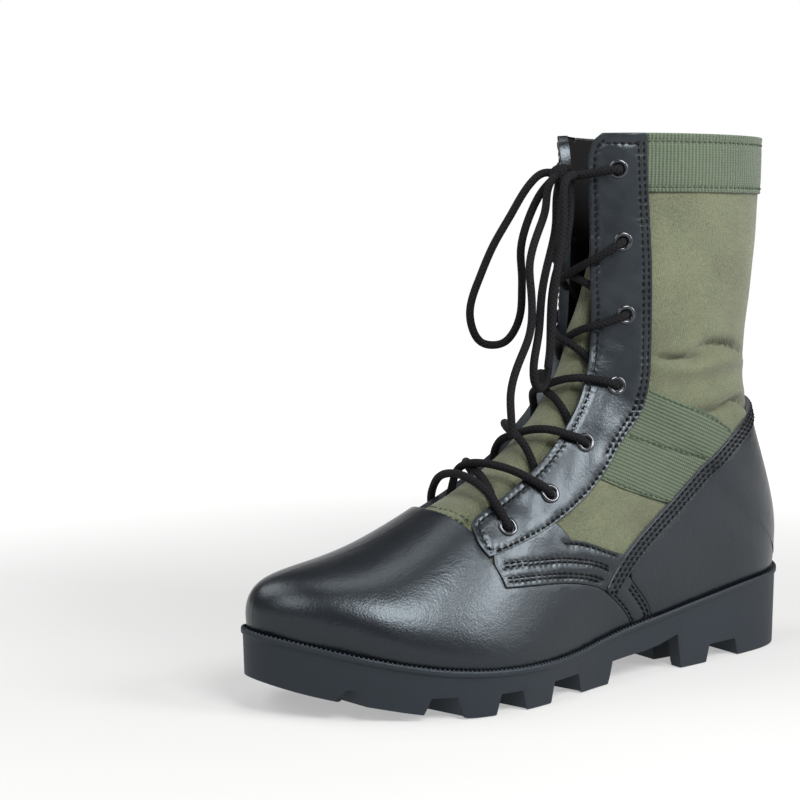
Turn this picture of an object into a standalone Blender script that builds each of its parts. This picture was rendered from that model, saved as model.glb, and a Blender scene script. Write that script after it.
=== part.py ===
"""Left lace-up field boot: lugged rubber sole, canvas shaft, leather foot, webbing and lace.

Lengths in the tables are millimetres. +X runs to the toe, +Y to the wearer's left (the outer
side of this left boot), +Z up, floor at Z = 0.
"""
import bpy
import bmesh
import math
import numpy as np
from mathutils import Vector

MM = 0.001

# Driving dimensions
LENGTH = 302.0        # outsole, heel to toe
BALL = 106.0          # outsole across the ball
HEIGHT = 257.0        # floor to collar
HEEL_TOP = 39.0       # floor to the feather line at the heel
BALL_TOP = 19.0       # floor to the feather line at the ball
TOE_TOP = 35.8        # floor to the feather line at the toe tip
TOE_SPRING = 16.0     # floor to the underside of the toe tip
WELT = 4.5            # sole outside the feather line
WALL = 2.0            # upper
GAP = 0.3             # between pieces
LEATHER = 1.6
WEBBING = 1.2
TONGUE = 2.4
INSOLE = 3.5
EYELET_OUT = 4.5      # flange radius
EYELET_IN = 2.3       # hole radius
EYELET_BARREL = EYELET_IN + 0.6
LACE = 3.6            # cord diameter

SX = LENGTH / 302.0
SY = BALL / 106.0
SZ = HEIGHT / 257.0

# Outsole seen from above: station along the boot, outer half, inner half
OUTLINE = [
    (-151, 0.0, 0.0), (-149, 9.0, 9.0), (-144, 17.0, 17.0), (-134, 25.5, 25.5),
    (-118, 31.0, 31.0), (-100, 33.5, 33.0), (-75, 36.0, 33.5), (-50, 37.5, 32.0),
    (-20, 39.0, 30.0), (5, 44.0, 32.0), (30, 50.5, 39.0), (50, 53.0, 46.5),
    (70, 51.5, 51.5), (90, 45.5, 53.0), (110, 34.5, 50.5), (128, 21.0, 43.5),
    (141, 7.0, 34.0), (148, -2.0, 25.0), (151, -13.5, 13.5),
]

# Feather line, the top of the sole: station, height
FEATHER = [
    (-151, HEEL_TOP), (-140, HEEL_TOP - 0.6), (-105, 35.6), (-86, 33.2), (-62, 30.0), (-44, 27.1),
    (-26, 24.3), (-5, 20.9), (12, 18.8), (35, 18.3), (58, BALL_TOP), (84, 21.2), (100, 23.8),
    (125, 29.4), (140, 33.2), (151, TOE_TOP),
]

# Underside of the lugs: station, height
GROUND = [
    (-151, 1.5), (-146, 0.0), (-100, 0.0), (0, 0.0), (70, 0.0), (93, 2.6), (117, 7.0),
    (124, 8.4), (137, 11.4), (151, TOE_SPRING),
]

# Side wall of the sole from the top inwards edge down: how far out, height above the feather line
WELT_STEPS = [(-3.9, 0.0), (-1.6, 0.0), (-1.2, 0.7), (-0.2, 0.6), (0.0, 0.1), (0.0, -1.6), (-0.8, -2.2)]

# Gaps between lugs: rear end of the lug ahead, front end of the lug behind, height of the gap's root
GAPS_OUTER = [(118.3, 110.4, 14.0), (94.0, 79.5, 10.0), (65.0, 48.5, 9.1), (32.0, 8.0, 9.4),
              (-79.0, -103.0, 8.6)]
GAPS_INNER = [(127.5, 119.0, 15.2), (97.0, 80.0, 10.4), (67.0, 50.0, 9.2), (34.0, 11.0, 9.6),
              (-79.0, -103.0, 8.7)]
WAIST = [(-61.0, -2.0), (-58.5, 17.2), (-46.0, 13.5), (-36.0, 11.9), (-15.0, 10.3), (-11.8, -2.0)]
# Slots that part the front of the heel into three blocks: side view, then where they run across
HEEL_SLOT = [(-50.0, -2.0), (-50.0, 13.6), (-100.0, 8.9), (-100.0, -2.0)]
HEEL_SLOT_RUNS = [(16.5, 28.5), (-25.0, -14.0)]
LUG_DRAFT = 2.4
LUG_SKEW = 0.35
SPINE = 8.0           # half width of the middle of the tread that the gaps leave whole

# Sections of the upper, toe to collar. Each runs from the ridge (xr, yr, zr) down one side to its
# base: sb along the feather line from the heel tip, then height zb up the back seam. y1 is how far
# the section runs level from the ridge, y2 how far out the side stands, k2 how high up that is.
SECTION_NAMES = ("xr", "zr", "yr", "sb", "zb", "y1_out", "y2_out", "y1_in", "y2_in", "k2")
SECTIONS = [
    (146.5, 35.4, -13.4, 268.2, 39, 12.5, 22.4, 17, 44.3, 0.43),
    (147.0, 47.0, -13.0, 260.7, 39, 15, 28, 19, 46.5, 0.43),
    (140.0, 56.5, -12.0, 249.0, 39, 21, 38, 23, 49, 0.42),
    (122.0, 62.0, -9.0, 234.8, 39, 28, 46, 28, 50, 0.42),
    (95.0, 69.0, -6.0, 218.0, 39, 34, 50, 31, 48, 0.40),
    (64.0, 83.0, -3.0, 197.4, 39, 36, 48, 34, 43, 0.38),
    (43.0, 94.5, -1.0, 172.7, 39, 36, 43, 34, 38, 0.36),
    (24.0, 106.0, 0.0, 140.0, 39, 35, 40, 34, 36, 0.34),
    (8.0, 119.0, 0.0, 105.0, 39, 34, 38, 34, 36, 0.30),
    (-4.0, 133.0, 0.0, 68.0, 39, 34, 37, 34, 36.5, 0.25),
    (-10.0, 143.0, 0.0, 35.6, 39, 34, 39.5, 34, 39.5, 0.17),
    (-14.0, 152.0, 0.0, 12.0, 39, 34, 47, 34, 47, 0.09),
    (-16.5, 160.0, 0.0, 0.0, 39, 34, 54, 34, 54, 0.03),
    (-18.5, 170.0, 0.0, 0.0, 60, 35, 52, 35, 52, 0.0),
    (-20.0, 183.0, 0.0, 0.0, 97, 36, 48, 36, 48, 0.0),
    (-21.0, 198.0, 0.0, 0.0, 135, 38, 46, 38, 46, 0.0),
    (-21.5, 222.0, 0.0, 0.0, 188, 41, 48, 41, 48, 0.0),
    (-20.5, 257.0, 0.0, 0.0, 257, 45, 50, 45, 50, 0.0),
]
# Back seam: height, station
BACK = [(39, -146.5), (64, -144.4), (97, -133.6), (135, -123.0), (188, -127.5), (257, -130.0)]
HEEL_ROW = 12
TOP_ROW = len(SECTIONS) - 1

# Throat: section number, half width of the opening
THROAT = [(0.0, 22.5), (5.05, 22.5), (6.5, 20.0), (8.0, 17.0), (10.3, 13.0), (13.5, 10.7),
          (15.4, 9.4), (17.0, 8.4)]
THROAT_ROW = 5.05

# Section numbers that carry a row of faces
ROWS = [0, 0.5, 1.0, 1.6, 2.2, 2.8, 3.5, 4.3, 5.05, 5.9, 6.8, 7.7, 8.6, 9.4, 10.2, 11.0, 11.6,
        12.2, 12.9, 13.7, 14.6, 15.8, 17.0]
CENTRE_COLS = 2
SIDE_COLS = 8

# Panel edges in side view, station and height
FACING_BACK = [(-39.8, 266), (-40.6, 256), (-42.7, 230), (-46.2, 180), (-46.8, 159), (-45.6, 138),
               (-40.2, 123.5), (-31.0, 114.0), (-20.2, 102.0), (-13.1, 95.0), (1.4, 84.7),
               (13.9, 78.3), (23.0, 74.4), (38.0, 69.6), (54.0, 65.5)]
FACING_FRONT = [(66.0, 110.0), (59.0, 88.0), (55.8, 76.2), (56.4, 71.4), (54.0, 65.5), (50.3, 52.8)]
WING_LOW = [(50.3, 52.8), (30.2, 52.0), (10.5, 50.4), (1.2, 48.6), (-7.0, 45.9), (-13.9, 41.3),
            (-23.2, 32.9), (-28.8, 25.4), (-31.5, 20.5)]
WINDOW_LOW = [(23.0, 74.4), (14.8, 70.4), (6.1, 69.2), (-4.3, 66.4), (-13.2, 63.0), (-23.0, 59.9)]
STRIP_TOP = [(-141.0, 137.0), (-118.0, 125.6), (-94.8, 112.2), (-76.1, 98.4), (-54.3, 81.7),
             (-36.2, 69.4), (-22.3, 58.2), (-10.6, 45.2)]
STRIP_WIDE = 8.0
LOW_STRIP_BACK = [(-25.0, 49.8), (-28.0, 46.2), (-33.0, 40.7), (-37.4, 35.6), (-41.0, 28.7), (-42.8, 21.0)]
# Corners where wing, counter strip, curb strip and counter meet
WING_END = [(-9.0, 45.2), (-10.6, 46.8)]
STRIP_END = [(-24.6, 49.2), (-19.0, 43.9), (-11.2, 44.9)]
CURB_TOP = [(-26.0, 48.9), (-23.6, 47.0), (-19.2, 43.3), (-11.6, 43.9)]
COUNTER_CORNER = [(-27.0, 49.2)]
WEB_TOP = [(-30.0, 141.5), (-46.2, 136.0), (-59.1, 130.5), (-76.2, 124.2), (-86.0, 119.5), (-96.0, 112.6),
           (-104.0, 106.0)]
WEB_LOW = [(5.0, 102.5), (-13.7, 95.7), (-25.6, 90.4), (-38.6, 85.8), (-54.4, 80.9), (-70.0, 76.0)]
BAND_LOW = 229.5
BACKSTAY_HALF = 3.4
BACKSTAY_LOW = 132.0

# Eyelets, collar to instep: section number, share of the way round from the ridge
EYELETS = [(16.58, 0.184), (15.62, 0.211), (14.03, 0.231), (11.02, 0.232), (8.47, 0.284),
           (7.02, 0.344), (5.81, 0.361)]
# Drain vents low on the inner side: station, height
VENTS = [(12.0, 36.0), (-5.0, 37.0)]
VENT_OUT = 4.4
VENT_IN = 2.9

# Bow at the collar, route points
TIE = [(-28.5, 22.9, 240.0), (-27.3, 24.0, 239.9), (-23.4, 21.2, 239.2), (-20.2, 16.8, 238.3),
       (-17.4, 11.5, 237.4), (-14.8, 5.5, 237.0), (-13.8, 0.0, 237.0), (-14.8, -5.5, 237.0),
       (-17.4, -11.5, 237.4), (-20.2, -16.8, 238.3), (-23.4, -21.2, 239.2), (-27.3, -24.0, 239.9),
       (-28.5, -22.9, 240.0)]
LOOP_LONG = [(-12.3, -5.2, 238.6), (-8.2, -8, 238.6), (-3.4, -11, 234.4), (5, -16, 219), (12, -20, 205),
             (18, -24, 188), (21, -27, 173), (19, -28, 165), (14, -28, 158), (6, -28, 156),
             (-3, -29, 158), (-9, -27, 169), (-8, -24, 181), (-4, -19, 191), (-1, -16, 202),
             (-1.5, -13.5, 212), (-5, -12, 222), (-10.5, -10.8, 231), (-14.2, -9.6, 235.1)]
LOOP_SHORT = [(-13.3, -2.5, 234.8), (-11, -1.5, 227), (-9.5, 0, 215), (-5, 2, 202), (3, 5.5, 182),
              (8, 9.3, 162), (13.3, 12.7, 146), (11.6, 11.8, 140.4), (6.4, 9.3, 137.6), (1.2, 6.8, 140.4),
              (-1.1, 5.6, 146), (-1.6, 6.2, 158), (-2.2, 6, 176), (-6, 5, 192), (-11, 5, 204),
              (-14.5, 4.2, 218), (-15.2, 3.6, 228), (-14.6, 3.5, 234.9)]
END_LONG = [(-11.6, 1, 237.4), (-7, 1.2, 236), (-3, 1.6, 230), (-1.6, 2, 222), (3, 3, 212),
            (7.5, 4, 203), (10, 5, 195), (10, 6, 185), (10, 7, 176), (13, 9, 163), (19, 10, 152),
            (26, 12, 136), (28, 15, 127), (28, 16, 117)]
END_SHORT = [(-13.5, 8.2, 237.3), (-9.2, 9.7, 236.4), (-6.1, 10.6, 233.4), (-4.9, 11.1, 229.2),
             (-4.6, 11.5, 216), (-2, 12, 200), (2, 13, 179), (4, 14, 162), (7, 15.5, 148)]

COLOURS = {
    "rubber": ("#1c1d1f", 0.75),
    "canvas": ("#6b6d4c", 0.95),
    "leather": ("#17181a", 0.38),
    "webbing": ("#4f6142", 0.9),
    "foam": ("#2b2c2d", 0.95),
    "enamel": ("#101112", 0.3),
    "cord": ("#161718", 0.9),
}


def linear(code):
    """Turn an sRGB hex code into linear red, green and blue."""
    parts = [int(code[i:i + 2], 16) / 255 for i in (1, 3, 5)]
    return [c / 12.92 if c <= 0.04045 else ((c + 0.055) / 1.055) ** 2.4 for c in parts]


def material(slot):
    """Make or find the Principled material of one slot."""
    found = bpy.data.materials.get(slot)
    if found:
        return found
    code, rough = COLOURS[slot]
    made = bpy.data.materials.new(slot)
    made.use_nodes = True
    shader = made.node_tree.nodes["Principled BSDF"]
    shader.inputs["Base Color"].default_value = (*linear(code), 1)
    shader.inputs["Roughness"].default_value = rough
    return made


def smooth(xs, ys):
    """Cubic spline through the points, free at its ends, constant beyond them."""
    xs = np.asarray(xs, float)
    ys = np.asarray(ys, float)
    n = len(xs)
    step = np.diff(xs)
    left = np.eye(n)
    right = np.zeros(n)
    for i in range(1, n - 1):
        left[i, i - 1:i + 2] = step[i - 1], 2 * (step[i - 1] + step[i]), step[i]
        right[i] = 6 * ((ys[i + 1] - ys[i]) / step[i] - (ys[i] - ys[i - 1]) / step[i - 1])
    bend = np.linalg.solve(left, right)

    def at(x):
        x = np.clip(np.asarray(x, float), xs[0], xs[-1])
        i = np.clip(np.searchsorted(xs, x) - 1, 0, n - 2)
        a = (xs[i + 1] - x) / step[i]
        b = 1 - a
        return (a * ys[i] + b * ys[i + 1]
                + ((a ** 3 - a) * bend[i] + (b ** 3 - b) * bend[i + 1]) * step[i] ** 2 / 6)
    return at


def steady(xs, ys):
    """Cubic curve through the points that never overshoots them."""
    xs = np.asarray(xs, float)
    ys = np.asarray(ys, float)
    step = np.diff(xs)
    rise = np.diff(ys) / step
    slope = np.r_[rise[0], np.zeros(len(xs) - 2), rise[-1]]
    same = rise[:-1] * rise[1:] > 0
    pairs = np.where(same, rise[:-1] + rise[1:], 1)
    slope[1:-1] = np.where(same, 2 * rise[:-1] * rise[1:] / pairs, 0)

    def at(x):
        x = np.clip(np.asarray(x, float), xs[0], xs[-1])
        i = np.clip(np.searchsorted(xs, x) - 1, 0, len(xs) - 2)
        u = (x - xs[i]) / step[i]
        return ((1 + 2 * u) * (1 - u) ** 2 * ys[i] + u * (1 - u) ** 2 * step[i] * slope[i]
                + u * u * (3 - 2 * u) * ys[i + 1] + u * u * (u - 1) * step[i] * slope[i + 1])
    return at


def route(points, count):
    """Even points along a smooth curve through a few route points."""
    pts = np.asarray(points, float)
    dist = np.r_[0, np.cumsum(np.linalg.norm(np.diff(pts, axis=0), axis=1))]
    curves = [smooth(dist, pts[:, k]) for k in range(pts.shape[1])]
    fine = np.stack([c(np.linspace(0, dist[-1], 400)) for c in curves], 1)
    along = np.r_[0, np.cumsum(np.linalg.norm(np.diff(fine, axis=0), axis=1))]
    want = np.linspace(0, along[-1], count)
    return np.stack([np.interp(want, along, fine[:, k]) for k in range(fine.shape[1])], 1)


def closed_outline():
    """Dense smooth outline of the sole, heel tip first, round by the outer side."""
    outer = [(x * SX, a * SY) for x, a, b in OUTLINE]
    inner = [(x * SX, -b * SY) for x, a, b in OUTLINE[-2:0:-1]]
    ring = np.array(outer + inner)
    wrapped = np.vstack([ring[-4:], ring, ring[:5]])
    dist = np.r_[0, np.cumsum(np.linalg.norm(np.diff(wrapped, axis=0), axis=1))]
    start = dist[4]
    end = dist[4 + len(ring)]
    want = np.linspace(start, end, 1201)[:-1]
    return np.stack([smooth(dist, wrapped[:, k])(want) for k in (0, 1)], 1)


def moved_out(ring, far):
    """Move a closed outline outwards by a distance."""
    run = np.roll(ring, -1, 0) - np.roll(ring, 1, 0)
    run /= np.linalg.norm(run, axis=1)[:, None]
    return ring + np.stack([-run[:, 1], run[:, 0]], 1) * far


def chains(ring, count):
    """Outer and inner halves of an outline, each from heel tip to toe tip in even steps."""
    heel = int(ring[:, 0].argmin())
    ring = np.roll(ring, -heel, 0)
    toe = int(ring[:, 0].argmax())
    halves = []
    for half in (ring[:toe + 1], np.vstack([ring[:1], ring[:toe - 1:-1]])):
        along = np.r_[0, np.cumsum(np.linalg.norm(np.diff(half, axis=0), axis=1))]
        want = np.linspace(0, along[-1], count + 1)
        halves.append(np.stack([np.interp(want, along, half[:, k]) for k in (0, 1)], 1))
    return halves


SOLE_RING = closed_outline()
FEATHER_RING = moved_out(SOLE_RING, -WELT)
feather_z = smooth([x * SX for x, z in FEATHER], [z for x, z in FEATHER])
ground_z = steady([x * SX for x, z in GROUND], [z for x, z in GROUND])
FEATHER_HALVES = dict(zip((1, -1), chains(FEATHER_RING, 600)))
back_x = smooth([z * SZ for z, x in BACK], [x * SX for z, x in BACK])


def section_curves():
    """One smooth curve per column of the section table."""
    table = np.array(SECTIONS, float)
    scale = {"x": SX, "y": SY, "z": SZ, "s": SX, "k": 1.0}
    numbers = np.arange(len(table))
    curves = {}
    for k, name in enumerate(SECTION_NAMES):
        kind = steady if name in ("sb", "zb", "k2") else smooth
        curves[name] = kind(numbers, table[:, k] * scale[name[0]])
    return curves


CURVES = section_curves()


def surface(t, v, side):
    """Point of the upper's outer face: t round from the ridge to the base, v from toe to collar."""
    t = np.asarray(t, float)
    v = np.asarray(v, float)
    got = {name: CURVES[name](v) for name in SECTION_NAMES}
    half = FEATHER_HALVES[side]
    along = np.r_[0, np.cumsum(np.linalg.norm(np.diff(half, axis=0), axis=1))]
    on_foot = v < HEEL_ROW
    zero = np.zeros_like(v)
    xb = np.where(on_foot, np.interp(got["sb"], along, half[:, 0]), back_x(got["zb"]))
    yb = np.where(on_foot, np.interp(got["sb"], along, half[:, 1]), zero)
    base = np.stack([xb, yb, np.where(on_foot, feather_z(xb), got["zb"])], -1)
    ridge = np.stack([got["xr"], got["yr"], got["zr"]], -1)
    tail = "_out" if side > 0 else "_in"
    level = ridge + np.stack([zero, side * got["y1" + tail], zero], -1)
    stand = base + (ridge - base) * got["k2"][..., None]
    stand[..., 1] = side * got["y2" + tail]
    t = t[..., None]
    return (1 - t) ** 3 * ridge + 3 * t * (1 - t) ** 2 * level + 3 * t * t * (1 - t) * stand + t ** 3 * base


def outward(t, v, side):
    """Unit normal of the upper's outer face."""
    e = 0.004
    t = np.asarray(t, float)
    v = np.asarray(v, float)
    along = surface(t, np.minimum(v + e, TOP_ROW), side) - surface(t, np.maximum(v - e, 0), side)
    round_ = surface(np.minimum(t + e, 1), v, side) - surface(np.maximum(t - e, 0), v, side)
    n = np.cross(along, round_) * -side
    return n / np.linalg.norm(n, axis=-1, keepdims=True)


throat_half = smooth([v for v, w in THROAT], [w * SY for v, w in THROAT])


def throat_t(v, side):
    """Share of the way round at which the throat's edge lies."""
    ts = np.linspace(0, 0.6, 121)
    pts = surface(ts, np.full(ts.shape, float(v)), side)
    return float(np.interp(throat_half(v), np.abs(pts[:, 1] - pts[0, 1]), ts))


def columns(v, side):
    """Shares of the way round that carry a column of faces."""
    edge = throat_t(v, side)
    centre = [edge * i / CENTRE_COLS for i in range(CENTRE_COLS)]
    sides = [edge + (1 - edge) * i / SIDE_COLS for i in range(SIDE_COLS + 1)]
    return centre + sides


def make(name, verts, faces, slot):
    """Build one named mesh object, given in millimetres, facing out."""
    mesh = bpy.data.meshes.new(name)
    bm = bmesh.new()
    made = [bm.verts.new(Vector(p) * MM) for p in verts]
    for face in faces:
        bm.faces.new([made[i] for i in face])
    bmesh.ops.recalc_face_normals(bm, faces=bm.faces)
    bm.to_mesh(mesh)
    bm.free()
    obj = bpy.data.objects.new(name, mesh)
    bpy.context.collection.objects.link(obj)
    mesh.materials.append(material(slot))
    return obj


def thick(points, normals, tris, low, high, on_base):
    """Closed solid between two offsets of one faceted sheet; its base stays a gap above the sole."""
    solid = []
    for off in (high, low):
        moved = points + normals * off
        moved[on_base, 2] = feather_z(moved[on_base, 0]) + GAP
        solid.append(moved)
    count = len(points)
    faces = [tuple(f) for f in tris]
    faces += [tuple(i + count for i in f[::-1]) for f in tris]
    edges = {}
    for f in tris:
        for a, b in zip(f, f[1:] + f[:1]):
            edges[(a, b)] = True
    for a, b in edges:
        if (b, a) not in edges:
            faces.append((b, a, a + count))
            faces.append((b, a + count, b + count))
    return np.vstack(solid), faces


def sheet(first_row, last_row, cols_used, with_throat):
    """Points, normals, faces and base marks of the upper's sheet between two rows."""
    keys = {}
    points = []
    normals = []
    base = []
    last_col = CENTRE_COLS + SIDE_COLS

    def point(j, i, side):
        v = ROWS[j]
        own = side
        if i == 0 or (i == last_col and v >= HEEL_ROW):
            own = 0
        key = (j, i, own)
        if key not in keys:
            t = columns(v, side)[i]
            n = outward(t, v, side)
            if own == 0:
                n = n + outward(columns(v, -side)[i], v, -side)
                n = n / np.linalg.norm(n)
            keys[key] = len(points)
            points.append(surface(t, v, side))
            normals.append(n)
            base.append(j == 0 or (i == last_col and v < HEEL_ROW))
        return keys[key]

    tris = []
    for j in range(first_row, last_row):
        for side in (1, -1):
            for i in range(cols_used):
                if with_throat and i < CENTRE_COLS and ROWS[j] >= THROAT_ROW:
                    continue
                a, b = point(j, i, side), point(j, i + 1, side)
                c, d = point(j + 1, i + 1, side), point(j + 1, i, side)
                quad = [(a, b, c), (a, c, d)] if side > 0 else [(a, c, b), (a, d, c)]
                tris += quad
    return np.array(points), np.array(normals), tris, np.array(base)


def skin(name, low, high, slot):
    """Whole skin of the upper between two offsets."""
    pts, nor, tris, base = sheet(0, len(ROWS) - 1, CENTRE_COLS + SIDE_COLS, True)
    verts, faces = thick(pts, nor, tris, low, high, base)
    return make(name, verts, faces, slot)


def combine(obj, other, how, solver="EXACT"):
    """Boolean one object with another and drop the other."""
    other.hide_render = True
    other.display_type = "WIRE"
    step = obj.modifiers.new("cut", "BOOLEAN")
    step.operation = how
    step.solver = solver
    step.object = other
    graph = bpy.context.evaluated_depsgraph_get()
    mesh = bpy.data.meshes.new_from_object(obj.evaluated_get(graph))
    obj.modifiers.clear()
    old = obj.data
    slot = old.materials[0]
    obj.data = mesh
    mesh.materials.clear()
    mesh.materials.append(slot)
    for poly in mesh.polygons:
        poly.material_index = 0
    bpy.data.meshes.remove(old)
    bpy.data.objects.remove(other)
    return obj


def prism(outline, near, far, skew=0.0, axis="y"):
    """Closed prism of an outline in side view (or in rear view), between two depths."""
    count = len(outline)
    verts = []
    for depth in (near, far):
        for a, z in outline:
            if axis == "y":
                verts.append((a - skew * (depth - near), depth, z))
            else:
                verts.append((depth, a, z))
    faces = [tuple(range(count)), tuple(range(2 * count - 1, count - 1, -1))]
    for i in range(count):
        j = (i + 1) % count
        faces.append((i, j, count + j, count + i))
    return make("cutter", verts, faces, "rubber")


def line(points, count, aside=0.0):
    """Smooth side-view line, moved aside to its left by a small distance."""
    run = route([(x * SX, z * SZ) for x, z in points], count)
    way = np.gradient(run, axis=0)
    way /= np.linalg.norm(way, axis=1)[:, None]
    return [tuple(p) for p in run + np.stack([-way[:, 1], way[:, 0]], 1) * aside]


def panel(name, outline, thickness, slot, near=-120.0, far=120.0):
    """Panel of the skin inside a side-view outline."""
    obj = skin(name, GAP, GAP + thickness, slot)
    return combine(obj, prism(outline, near, far), "INTERSECT")


def ring_solid(name, profile, where, axis, slot, count):
    """Turned ring: profile rows are radius and height along the axis."""
    turn = Vector((0, 0, 1)).rotation_difference(Vector(axis)).to_matrix()
    verts = []
    for k in range(count):
        angle = 2 * math.pi * k / count
        for r, h in profile:
            p = turn @ Vector((r * math.cos(angle), r * math.sin(angle), h))
            verts.append(tuple(p + Vector(where)))
    m = len(profile)
    faces = []
    for k in range(count):
        n = (k + 1) % count
        for i in range(m):
            j = (i + 1) % m
            faces.append((k * m + i, n * m + i, n * m + j, k * m + j))
    return make(name, verts, faces, slot)


def rod(name, points, radius, slot, count=8):
    """Plain closed tube along a few points."""
    pts = [Vector(p) for p in points]
    verts = []
    side = None
    for k, p in enumerate(pts):
        way = (pts[min(k + 1, len(pts) - 1)] - pts[max(k - 1, 0)]).normalized()
        if side is None:
            side = way.orthogonal().normalized()
        side = (side - way * side.dot(way)).normalized()
        other = way.cross(side)
        for i in range(count):
            a = 2 * math.pi * i / count
            verts.append(tuple(p + (side * math.cos(a) + other * math.sin(a)) * radius))
    faces = [tuple(range(count - 1, -1, -1)), tuple(range(len(verts) - count, len(verts)))]
    for k in range(len(pts) - 1):
        for i in range(count):
            j = (i + 1) % count
            faces.append((k * count + i, k * count + j, (k + 1) * count + j, (k + 1) * count + i))
    return make(name, verts, faces, slot)


def cord(name, points, count):
    """Free cord as a filled tube along its route."""
    curve = bpy.data.curves.new(name, "CURVE")
    curve.dimensions = "3D"
    curve.bevel_depth = LACE / 2 * MM
    curve.bevel_resolution = 2
    curve.use_fill_caps = True
    path = route(points, count)
    strand = curve.splines.new("POLY")
    strand.points.add(len(path) - 1)
    for spot, p in zip(strand.points, path):
        spot.co = (*(p * MM), 1)
    curve.materials.append(material("cord"))
    obj = bpy.data.objects.new(name, curve)
    bpy.context.collection.objects.link(obj)
    return obj


def build_outsole():
    """Sole: welt lip, straight wall, waist, toe spring and lugs."""
    count = 34
    rings = []
    for far, rise in WELT_STEPS:
        pair = chains(moved_out(SOLE_RING, far), count)
        rings.append([[(x, y, float(feather_z(x)) + rise) for x, y in half] for half in pair])
    pair = chains(moved_out(SOLE_RING, WELT_STEPS[-1][0] - 0.6), count)
    rings.append([[(x, y, float(ground_z(x))) for x, y in half] for half in pair])
    verts = []
    loops = []
    for outer, inner in rings:
        loop = list(range(len(verts), len(verts) + 2 * count))
        verts += outer + inner[-2:0:-1]
        loops.append(loop)
    faces = []
    for up, down in zip(loops, loops[1:]):
        for i in range(len(up)):
            j = (i + 1) % len(up)
            faces.append((up[i], down[i], down[j]))
            faces.append((up[i], down[j], up[j]))
    for loop in (loops[0], loops[-1]):
        for i in range(count):
            a, b = loop[i], loop[i + 1]
            c, d = loop[-i - 1] if i + 1 < count else loop[count], loop[-i] if i else loop[0]
            faces.append(tuple(dict.fromkeys((a, b, c, d))))
    sole = make("outsole", verts, faces, "rubber")
    combine(sole, prism(WAIST, -90, 90), "DIFFERENCE")
    for near, far in HEEL_SLOT_RUNS:
        combine(sole, prism(HEEL_SLOT, near, far), "DIFFERENCE", "MANIFOLD")
    for gaps, near, far in ((GAPS_OUTER, SPINE, 58.0), (GAPS_INNER, -SPINE, -58.0)):
        for ahead, behind, root in gaps:
            low = root - 24
            flare = LUG_DRAFT * 24 / 9
            outline = [(ahead - LUG_DRAFT, root), (behind + LUG_DRAFT, root),
                       (behind + LUG_DRAFT - flare, low), (ahead - LUG_DRAFT + flare, low)]
            skew = LUG_SKEW if ahead > 0 else 0.0
            lead = skew * (44.0 - SPINE)
            moved = [(x + lead, z) for x, z in outline]
            sign = 1 if far > 0 else -1
            combine(sole, prism(moved, near, far, skew * sign), "DIFFERENCE", "MANIFOLD")
    return sole


def build_insole():
    """Insole lying on the sole inside the upper."""
    count = 24
    outer, inner = chains(moved_out(SOLE_RING, -WELT - WALL - 1.8), count)
    verts = []
    loops = []
    for rise in (GAP + INSOLE, GAP):
        loop = list(range(len(verts), len(verts) + 2 * count))
        ring = [tuple(p) for p in outer] + [tuple(p) for p in inner[-2:0:-1]]
        verts += [(x, y, float(feather_z(x)) + rise) for x, y in ring]
        loops.append(loop)
    faces = []
    for i in range(2 * count):
        j = (i + 1) % (2 * count)
        faces.append((loops[0][i], loops[1][i], loops[1][j], loops[0][j]))
    for loop in loops:
        for i in range(count):
            a, b = loop[i], loop[i + 1]
            c, d = loop[-i - 1] if i + 1 < count else loop[count], loop[-i] if i else loop[0]
            faces.append(tuple(dict.fromkeys((a, b, c, d))))
    return make("insole", verts, faces, "foam")


def eyelet_spots():
    """Name, place and axis of every eyelet."""
    spots = []
    for side, word in ((1, "outer"), (-1, "inner")):
        for k, (v, t) in enumerate(EYELETS):
            spots.append((f"eyelet_{word}_{k + 1}", surface(t, v, side), outward(t, v, side)))
    return spots


def drill(obj, radius, reach):
    """Cut the eyelet holes through a piece."""
    for name, where, axis in eyelet_spots():
        if obj.name.endswith("outer") and "inner" in name:
            continue
        if obj.name.endswith("inner") and "outer" in name:
            continue
        ends = [where - axis * reach, where + axis * reach]
        combine(obj, rod("drill", ends, radius, "rubber", 8), "DIFFERENCE")
    return obj


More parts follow.
